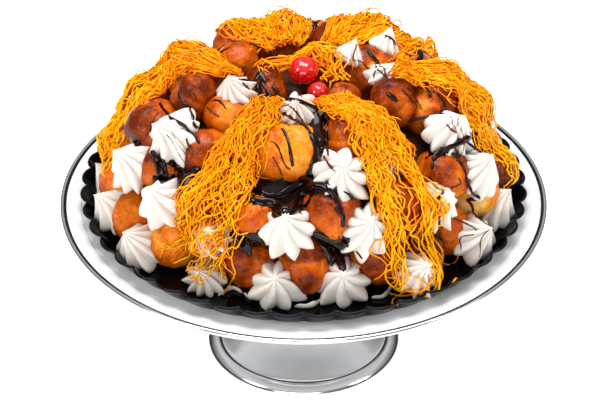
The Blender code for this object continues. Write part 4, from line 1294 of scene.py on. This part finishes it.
# %% Where the sauce was poured
POURS = [
    ("puff_high_02", 3.2, [(-1.0, 2.2), (-0.85, 1.8), (-0.6, 1.5), (-0.35, 1.2), (-0.1, 0.95),
                           (0.1, 0.7)]),
    ("puff_high_01", 3.2, [(-0.2, 0.9), (0.15, 0.5), (0.6, 0.15), (0.8, -0.05), (1.0, -0.2),
                           (1.2, -0.5)]),
    ("puff_top_01", 1.8, [(-0.15, 0.2), (0.05, -0.05), (0.35, -0.45)]),
    ("puff_top_02", 1.2, [(-0.85, 0.45), (-0.6, 0.25), (-0.3, 0.0)]),
    ("puff_top_02", 2.6, [(-0.7, 0.55), (-0.5, 0.7), (-0.25, 0.6), (0.0, 0.25)]),
    ("rosette_high_01", 1.7, [(-0.3, 0.1), (-0.05, -0.05), (0.2, -0.5), (0.45, -0.85), (0.55, -1.1)]),
    ("rosette_high_01", 1.7, [(-0.05, 0.35), (0.2, -0.15), (0.5, -0.65), (0.7, -1.2)]),
    ("rosette_high_01", 1.4, [(0.5, -0.05), (0.6, -0.3), (0.75, -0.65)]),
    ("puff_high_01", 1.2, [(-0.2, 0.55), (-0.35, 0.25), (-0.45, 0.0), (-0.6, -0.25)]),
    ("puff_mid_01", 5.0, [(-0.55, 0.9), (-0.3, 0.35), (-0.25, -0.1)]),
    ("puff_mid_01", 6.5, [(-0.15, 0.6), (0.0, 0.15), (0.05, -0.15)]),
    ("puff_mid_01", 5.5, [(0.4, 0.35), (0.75, 0.05), (0.55, -0.4)]),
    ("puff_mid_01", 6.5, [(1.2, 0.3), (0.9, -0.1), (0.55, -0.7)]),
    ("rosette_mid_02", 5.0, [(0.95, 0.1), (0.85, -0.2), (0.7, -0.45)]),
    ("puff_top_07", 3.6, [(0.0, 0.75), (0.2, 0.9), (0.45, 0.75), (0.65, 0.5), (0.75, 0.2), (0.7, 0.0)]),
    ("puff_top_07", 3.4, [(0.05, 0.7), (0.2, 0.5), (0.3, 0.25), (0.5, 0.05), (0.7, -0.1), (0.9, -0.3),
                          (1.05, -0.5)]),
    ("puff_top_07", 1.2, [(0.55, 0.75), (0.8, 0.7), (1.0, 0.45)]),
    ("rosette_top_01", 3.8, [(0.75, 1.35), (1.25, 1.0), (1.45, 0.65), (1.65, 0.4)]),
    ("rosette_top_01", 2.2, [(0.6, 0.3), (0.8, 0.0), (0.9, -0.35)]),
    ("rosette_top_01", 1.9, [(1.0, 0.35), (1.2, 0.0), (1.4, -0.5)]),
    ("rosette_top_01", 3.2, [(1.35, 0.35), (1.7, -0.05), (2.2, -0.9)]),
    ("rosette_top_01", 3.4, [(1.85, 0.35), (2.2, -0.2), (2.5, -0.65)]),
    ("rosette_top_02", 1.4, [(0.15, 1.2), (0.2, 0.8), (0.3, 0.6)]),
    ("rosette_top_02", 3.8, [(-0.8, 0.25), (-0.35, 0.5), (0.05, 0.5), (0.6, 0.3), (0.95, 0.15),
                             (1.3, 0.05)]),
    ("rosette_top_02", 1.2, [(-0.4, 0.25), (0.0, 0.05), (0.3, -0.35), (0.55, -0.7), (0.7, -0.95)]),
    ("rosette_top_02", 3.0, [(0.9, -0.2), (0.8, -0.85)]),
    ("puff_top_03", 3.0, [(-0.15, 1.15), (0.0, 1.1), (0.15, 0.95), (0.35, 0.85), (0.5, 0.75),
                          (0.7, 0.5)]),
    ("puff_top_03", 4.5, [(0.65, 0.55), (0.8, 0.2), (0.85, -0.1), (0.75, -0.45), (0.6, -0.7)]),
    ("puff_top_04", 7.5, [(-1.1, 0.9), (-1.0, 0.5), (-0.95, 0.0), (-0.9, -0.5)]),
    ("puff_top_04", 6.0, [(-0.7, 0.85), (-0.8, 0.5), (-0.85, 0.0)]),
    ("puff_top_04", 3.0, [(-0.65, 0.75), (-0.65, 0.15), (-0.6, -0.4), (-0.6, -0.65)]),
    ("puff_top_03", 2.2, [(-0.6, 0.3), (-0.4, 0.25), (-0.25, 0.05), (-0.15, -0.25), (-0.05, -0.45)]),
    ("puff_top_03", 1.2, [(-0.08, -0.4), (0.0, -0.5), (0.1, -0.55)]),
    ("puff_top_03", 3.1, [(-0.2, 0.7), (-0.05, 0.5), (0.05, 0.2), (0.1, -0.1), (0.15, -0.4),
                          (0.15, -0.5)]),
    ("puff_top_03", 1.0, [(-0.45, -0.15), (-0.3, -0.4), (-0.15, -0.75)]),
    ("puff_top_03", 6.0, [(-0.95, -0.95), (-0.5, -1.0), (-0.1, -1.1), (0.35, -0.95), (0.75, -0.65)]),
    ("puff_top_03", 5.0, [(-1.15, -1.5), (-0.7, -1.55), (-0.2, -1.45), (0.2, -1.25), (0.5, -1.15),
                          (0.95, -1.2)]),
    ("puff_low_04", 3.5, [(-0.5, 0.75), (-0.15, 0.95), (0.3, 0.9), (0.55, 0.6)]),
    ("puff_low_05", 3.5, [(0.6, 0.85), (0.8, 0.6), (0.95, 0.3), (1.2, 0.25)]),
    ("puff_mid_03", 6.5, [(-0.25, 0.5), (0.25, 0.5), (0.8, 0.4), (1.15, 0.45)]),
    ("puff_mid_04", 6.0, [(-1.35, 0.55), (-0.95, 0.6), (-0.5, 0.8), (-0.2, 0.85), (0.05, 0.75)]),
    ("puff_mid_04", 4.0, [(0.0, 0.8), (0.2, 0.5), (0.35, 0.2), (0.45, -0.15), (0.45, -0.45)]),
    ("puff_mid_04", 2.0, [(-0.25, 0.7), (-0.05, 0.45), (0.15, 0.2), (0.35, -0.05)]),
    ("puff_mid_04", 3.0, [(-1.1, 0.95), (-0.9, 1.0), (-0.5, 0.95), (-0.2, 0.9)]),
    ("rosette_high_02", 5.0, [(-1.4, -0.1), (-1.0, -0.15), (-0.65, -0.35)]),
    ("rosette_mid_03", 1.0, [(0.15, 0.8), (0.3, 0.6), (0.45, 0.35)]),
    ("rosette_mid_04", 2.6, [(-0.85, 1.35), (-0.55, 1.2), (-0.35, 1.0)]),
    ("rosette_high_02", 1.6, [(-0.55, 0.65), (-0.4, 0.35), (-0.2, 0.15)]),
    ("rosette_high_02", 1.6, [(-0.5, -0.15), (-0.4, -0.25), (-0.35, -0.3)]),
    ("rosette_high_02", 3.0, [(-0.22, -0.2), (-0.18, -0.25)]),
    ("puff_low_04", 5.0, [(-0.15, 0.9), (0.15, 0.85), (0.45, 0.7), (0.65, 0.45)]),
    ("puff_low_04", 5.6, [(0.05, 0.8), (0.05, 0.5), (0.07, 0.15)]),
    ("puff_low_04", 2.8, [(-0.2, 0.8), (-0.25, 0.6), (-0.2, 0.35)]),
    ("puff_low_04", 3.5, [(-0.8, 0.1), (-0.7, -0.2), (-0.55, -0.6)]),
    ("puff_low_05", 4.5, [(0.35, 0.65), (0.65, 0.35), (0.8, 0.05)]),
    ("rosette_low_04", 5.5, [(-1.0, 1.55), (-0.35, 1.25), (0.05, 1.0)]),
    ("rosette_mid_04", 2.2, [(-0.9, -0.2), (-0.8, -0.45), (-0.5, -0.6)]),
    ("rosette_mid_04", 3.4, [(-0.6, -0.55), (-0.5, -0.62)]),
    ("puff_low_06", 1.6, [(-0.6, 0.1), (-0.5, 0.0), (-0.4, -0.15)]),
    ("puff_low_06", 3.0, [(-0.65, -0.25), (-0.6, -0.45)]),
    ("puff_low_06", 1.1, [(-0.55, -0.4), (-0.45, -0.5), (-0.35, -0.6)]),
    ("puff_low_05", 2.5, [(-0.25, -0.5), (-0.05, -0.7)]),
    ("puff_top_06", 3.8, [(-0.05, 0.75), (0.15, 0.45), (0.35, 0.2), (0.45, 0.05)]),
    ("puff_top_06", 1.1, [(-0.9, 0.25), (-0.6, 0.35), (-0.3, 0.2), (0.0, -0.15), (0.2, -0.5),
                          (0.3, -0.7)]),
    ("rosette_top_03", 1.5, [(-0.45, 0.4), (-0.1, 0.0), (0.1, -0.4), (0.05, -0.65)]),
    ("rosette_top_03", 1.3, [(-0.3, 0.55), (0.0, 0.2), (0.25, -0.25), (0.15, -0.6)]),
    ("filler_rosette_04", 2.2, [(-0.9, 0.4), (-0.65, -0.05)]),
    ("filler_rosette_04", 1.3, [(-0.3, 0.4), (-0.15, 0.05)]),
    ("filler_rosette_04", 3.2, [(-0.15, 0.5), (0.3, 0.25), (0.75, 0.0)]),
    ("filler_rosette_04", 1.2, [(0.75, 0.0), (1.15, -0.15), (1.5, -0.4)]),
    ("puff_top_05", 4.6, [(-0.2, 0.5), (0.0, 0.3), (0.3, 0.1)]),
    ("puff_high_03", 1.6, [(-1.05, 0.7), (-0.8, 0.45), (-0.5, 0.05)]),
    ("puff_high_03", 2.2, [(-0.9, 0.75), (-0.65, 0.55), (-0.35, 0.05), (-0.3, -0.1)]),
    ("puff_high_03", 3.8, [(-0.55, 0.75), (-0.3, 0.65), (-0.05, 0.35)]),
    ("puff_high_03", 2.0, [(0.0, 0.5), (0.1, 0.25)]),
    ("puff_high_03", 2.8, [(0.05, 0.65), (0.3, 0.35), (0.45, 0.05), (0.45, -0.2)]),
    ("rosette_high_03", 1.8, [(-0.45, 0.75), (-0.1, 0.4), (0.2, 0.05), (0.3, -0.4), (0.25, -0.85)]),
    ("rosette_high_03", 1.8, [(-0.2, 0.7), (0.15, 0.4), (0.4, -0.05), (0.4, -0.65), (0.2, -1.1)]),
    ("rosette_high_03", 1.4, [(-0.2, 0.3), (-0.1, 0.1), (0.2, 0.0)]),
    ("rosette_high_03", 1.4, [(-0.05, -0.4), (0.15, -0.75), (0.15, -1.05)]),
    ("puff_top_05", 3.0, [(0.6, -0.7), (0.85, -0.95)]),
    ("puff_mid_06", 4.5, [(-0.8, 1.3), (-0.55, 1.05), (-0.45, 0.8), (-0.35, 0.55)]),
    ("puff_mid_06", 6.0, [(-0.45, 0.9), (-0.15, 0.7)]),
    ("puff_mid_06", 4.0, [(-0.6, 0.55), (-0.45, 0.25)]),
    ("puff_mid_06", 3.3, [(0.0, 0.9), (0.3, 0.75), (0.6, 0.5), (0.75, 0.2), (0.8, -0.15), (0.75, -0.5),
                          (0.65, -0.7)]),
    ("puff_low_09", 3.4, [(-0.4, 0.1), (-0.15, -0.1), (0.0, -0.4), (0.1, -0.65)]),
    ("rosette_low_05", 2.0, [(-0.15, 0.8), (0.0, 0.5), (0.1, 0.0), (0.2, -0.5), (0.15, -0.85)]),
    ("rosette_mid_06", 3.2, [(-0.6, 1.3), (-0.35, 0.95), (-0.15, 0.6)]),
    ("puff_low_10", 1.8, [(0.1, 0.4), (0.25, 0.05), (0.35, -0.25), (0.4, -0.65)]),
    ("rosette_mid_05", 3.1, [(-0.65, 1.15), (-0.35, 0.75), (-0.15, 0.25), (-0.05, -0.35), (0.0, -0.95),
                             (0.1, -1.5), (0.15, -2.0)]),
    ("puff_low_08", 2.1, [(0.35, 0.6), (0.55, 0.4), (0.7, 0.15), (0.65, 0.0), (0.5, -0.15),
                          (0.45, -0.45), (0.4, -0.7)]),
    ("puff_mid_06", 1.1, [(0.5, 0.0), (0.5, -0.25), (0.3, -0.65)]),
]
# At the back the lines are given as azimuth and elevation from the hub.
BACK_POURS = [
    (3.2, [(92, 62), (88, 48), (84, 36), (80, 22)]), (2.4, [(78, 60), (75, 46), (74, 34)]),
    (6.0, [(82, 40), (88, 35), (93, 27)]), (1.6, [(97, 50), (92, 38), (90, 20)]),
    (3.2, [(140, 58), (146, 46), (150, 34), (150, 20)]), (1.8, [(150, 56), (154, 44), (156, 30)]),
    (6.0, [(142, 38), (150, 36), (157, 32)]), (3.0, [(38, 58), (36, 46), (34, 32), (35, 20)]),
    (1.6, [(30, 50), (30, 40), (31, 28), (30, 16)]), (5.5, [(28, 36), (33, 33), (38, 34)]),
    (2.2, [(160, 26), (163, 16), (160, 6)]), (2.6, [(88, 20), (86, 10), (89, 2)]),
]
print("lines to pour:", len(POURS), "in front,", len(BACK_POURS), "at the back")

# %% One line of sauce
POUR_WIDER = 1.2            # the sauce spreads a little after it lands
FUSED_FROM = 2.0            # mm, lines at least this wide are fused
VOXEL = 0.75                # mm, size of the voxels that fuse the wide lines
POUR_STEP = 0.9             # mm between the points of a line
SMOOTHING = 10              # rounds that let the fused skin settle as a liquid does


def poured(points, width):
    """Path and radius at each corner of one line of sauce that lies on the food."""
    line = evenly(points, POUR_STEP)
    directions = unit(line - HUB)
    far = food_reach(directions)
    for _ in range(int(6.0 * width) + 3):   # sauce bridges what is narrower than itself
        far[1:-1] = np.maximum(far[1:-1], 0.5 * (far[:-2] + far[2:]))
    for _ in range(6 + int(3.0 * width)):
        far[1:-1] = 0.25 * (far[:-2] + far[2:]) + 0.5 * far[1:-1]
    half = width / 2.0
    count = len(line)
    from_end = np.minimum(np.arange(count), np.arange(count)[::-1]) * POUR_STEP + 0.15
    taper = np.sqrt(np.clip(1.0 - (1.0 - np.minimum(from_end / half, 1.0)) ** 2, 0.0, 1.0))
    run = np.arange(count) * POUR_STEP
    uneven = 1.0 + 0.07 * np.sin(run / rnd.uniform(2.0, 4.0) + rnd.uniform(0, 6.3))
    path = HUB + directions * (far + 0.06 * half)[:, None]
    return path, np.maximum(half * taper * uneven, 0.25)


# %% Pour the lines
rnd = np.random.default_rng(91)
lines = [(POUR_WIDER * width, [spot(name, *bend) for bend in bends]) for name, width, bends in POURS]
for width, bends in BACK_POURS:
    directions = toward([a for a, e in bends], [e for a, e in bends])
    lines.append((width, list(HUB + directions * food_reach(directions)[:, None])))
thin, wide = [], []
for width, points in lines:
    (wide if width >= FUSED_FROM else thin).append((width,) + poured(points, width))

corners, quads, tone = tubes([path for _, path, _ in thin], [half for _, _, half in thin], 6, 0.7,
                             [0.12 * width for width, _, _ in thin])
add_piece("chocolate_fine_lines", corners, quads, SAUCE, tone=tone)
print("sauce:", len(thin), "fine lines,", len(wide), "wide ones")

# %% [markdown]
# Where wide lines meet, their tubes cut through each other. A voxel remesh makes one skin of them,
# and some rounds of smoothing settle it as a liquid does. The new skin has no tone, so each corner
# takes it from the width of the nearest line: the wider the line, the darker the sauce.

# %% Fuse the wide lines
corners, quads, _ = tubes([path for _, path, _ in wide], [half for _, _, half in wide], 10, 0.5)
rough = bpy.data.meshes.new("rough_sauce")
rough.from_pydata(corners.tolist(), [], quads)
rough_object = in_scene("rough_sauce", rough)
fuse = rough_object.modifiers.new("fuse", "REMESH")
fuse.mode = "VOXEL"
fuse.voxel_size = VOXEL
evaluated = rough_object.evaluated_get(bpy.context.evaluated_depsgraph_get())
fused = bpy.data.meshes.new_from_object(evaluated)
corners = np.array([v.co for v in fused.vertices])
quads = [list(p.vertices) for p in fused.polygons]
edges = np.array([e.vertices for e in fused.edges])
bpy.data.objects.remove(rough_object)
neighbours = np.bincount(edges.ravel(), minlength=len(corners))[:, None]
for _ in range(SMOOTHING):
    total = np.zeros_like(corners)
    np.add.at(total, edges[:, 0], corners[edges[:, 1]])
    np.add.at(total, edges[:, 1], corners[edges[:, 0]])
    corners = 0.5 * corners + 0.5 * total / np.maximum(neighbours, 1)
lookup = KDTree(sum(len(path) for _, path, _ in wide))
widths = []
for width, path, _ in wide:
    for point in path:
        lookup.insert(Vector(point), len(widths))
        widths.append(width)
lookup.balance()
tone = [min(1.0, 0.17 * widths[lookup.find(Vector(c))[1]]) for c in corners]
add_piece("chocolate_pools_and_ribbons", corners, quads, SAUCE, tone=tone)
print("fused sauce:", len(quads), "faces")

# %% [markdown]
# ## Cream on the tray
#
# A little cream was smeared on the tray when the lowest pieces were set down. It is the same
# whipped cream, so the same material, in flat strokes.

# %% Cream smears
SMEARS = [("puff_low_04", 7.0, [(-1.0, -0.75), (-0.55, -0.9), (-0.2, -1.02)]),
          ("puff_low_05", 8.0, [(-0.35, -0.8), (0.15, -0.88), (0.55, -0.92)]),
          ("puff_low_06", 7.0, [(-0.1, -0.72), (0.3, -0.85), (0.6, -0.95)]),
          ("puff_low_04", 4.0, [(-0.15, -0.85), (0.1, -0.9)])]
paths, radii = [], []
for name, width, bends in SMEARS:
    line = evenly([spot(name, *bend, True) for bend in bends], 1.2)
    line[:, 2] = FLOOR + 0.6
    ends = np.sin(np.linspace(0.12, math.pi - 0.12, len(line))) ** 0.5
    paths.append(line)
    radii.append(0.5 * width * ends * (1.0 + 0.15 * np.sin(np.arange(len(line)) * 0.8)))
corners, quads, _ = tubes(paths, radii, 10, 0.35)
corners[:, 2] = np.maximum(corners[:, 2], FLOOR + 0.15)
add_piece("cream_smears_on_tray", corners, quads, CREAM)
print("smears:", len(SMEARS))

# %% [markdown]
# ## The studio
#
# A pale floor, a soft sky and large soft lights, as a food studio has them. The steel needs
# something to mirror, so the sky is bright above and dark near the horizon, like the unlit walls of
# a studio. That draws the thin dark lines along the rim and the foot. Towards the left and right the
# dark band reaches higher.

# %% The backdrop board
BOARD = 6.0                 # m from the middle of the backdrop board to its edges
floor_mesh = bpy.data.meshes.new("studio_floor")
floor_mesh.from_pydata([(-BOARD, -BOARD, 0), (BOARD, -BOARD, 0), (BOARD, BOARD, 0), (-BOARD, BOARD, 0)],
                       [], [(0, 1, 2, 3)])
in_scene("studio_floor", floor_mesh)
floor_white = start_material("matt_white_backdrop_board", Base_Color=linear("#F4F4F4"), Roughness=0.9,
                             Emission_Color=(1, 1, 1, 1), Emission_Strength=0.65)[0]
floor_mesh.materials.append(floor_white)
print("board:", 2 * BOARD, "m wide, in", floor_white.name)

# %% The sky
world = bpy.data.worlds.new("studio_sky")
bpy.context.scene.world = world
world.use_nodes = True
tree = world.node_tree
place = add_node(tree, "ShaderNodeTexCoord")
split = add_node(tree, "ShaderNodeSeparateXYZ", links={"Vector": place.outputs["Generated"]})
aside = add_node(tree, "ShaderNodeMath", {"operation": "MULTIPLY"}, {},
                 {0: split.outputs["X"], 1: split.outputs["X"]})
rising = add_node(tree, "ShaderNodeMath", {"operation": "MULTIPLY_ADD"}, {1: -0.22},
                  {0: aside, 2: split.outputs["Z"]})
sky = add_node(tree, "ShaderNodeValToRGB", links={"Fac": rising},
               stops=[(0.0, "#2A2A2B"), (1.0, "#FFFFFF"), (0.10, "#363637"), (0.26, "#909091"),
                      (0.46, "#EEEEEE")])
background = tree.nodes["Background"]
tree.links.new(sky.outputs["Color"], background.inputs["Color"])
background.inputs["Strength"].default_value = 0.58
print("sky:", len(sky.color_ramp.elements), "tones from the horizon to the zenith")

# %% The lights
AIM = 0.17                  # m above the board, the spot in the cake that the lights are aimed at


def soft_light(name, where, size, power):
    """A rectangular soft light aimed at the cake."""
    light = bpy.data.lights.new(name, "AREA")
    light.shape = "RECTANGLE"
    light.size, light.size_y = size
    light.energy = power
    lamp = in_scene(name, light)
    lamp.location = where
    lamp.rotation_euler = (Vector((0, 0, AIM)) - Vector(where)).to_track_quat("-Z", "Y").to_euler()


soft_light("overhead_softbox", (0.05, 0.15, 1.40), (1.0, 0.7), 21.0)
soft_light("left_softbox", (-1.25, -0.7, 1.15), (0.5, 0.6), 9.0)
soft_light("right_softbox", (1.3, -0.45, 0.95), (0.5, 0.6), 5.0)
soft_light("front_fill", (-0.2, -1.6, 0.55), (1.4, 0.6), 12.0)
print("lights:", len(bpy.data.lights))

# %% [markdown]
# ## The camera
#
# A buyer looks down on such a cake from across a counter, here at 34 degrees. A long lens from two
# metres away keeps the far side of the plate nearly as wide as the near side. Blender's camera looks
# along its own minus Z, so that axis is turned towards the plate.

# %% The camera
LENS = 175.6                # mm, for a 36 mm wide sensor
DISTANCE = 2.158            # m from the middle of the plate's rim
RIM_HEIGHT = 0.128          # m
camera_data = bpy.data.cameras.new("camera")
camera_data.lens = LENS
camera_data.sensor_width = 36.0
camera_data.shift_x = 0.0063
camera_data.shift_y = -0.0163
camera_data.clip_end = 50.0
camera = in_scene("camera", camera_data)
back = Vector(TOWARD_US)
camera.location = Vector((0.0, 0.0, RIM_HEIGHT)) + back * DISTANCE
camera.rotation_euler = (-back).to_track_quat("-Z", "Y").to_euler()
bpy.context.scene.camera = camera
bpy.context.scene.view_settings.view_transform = "Standard"
print("camera:", [round(c, 2) for c in camera.location], "m, with a lens of", LENS, "mm")
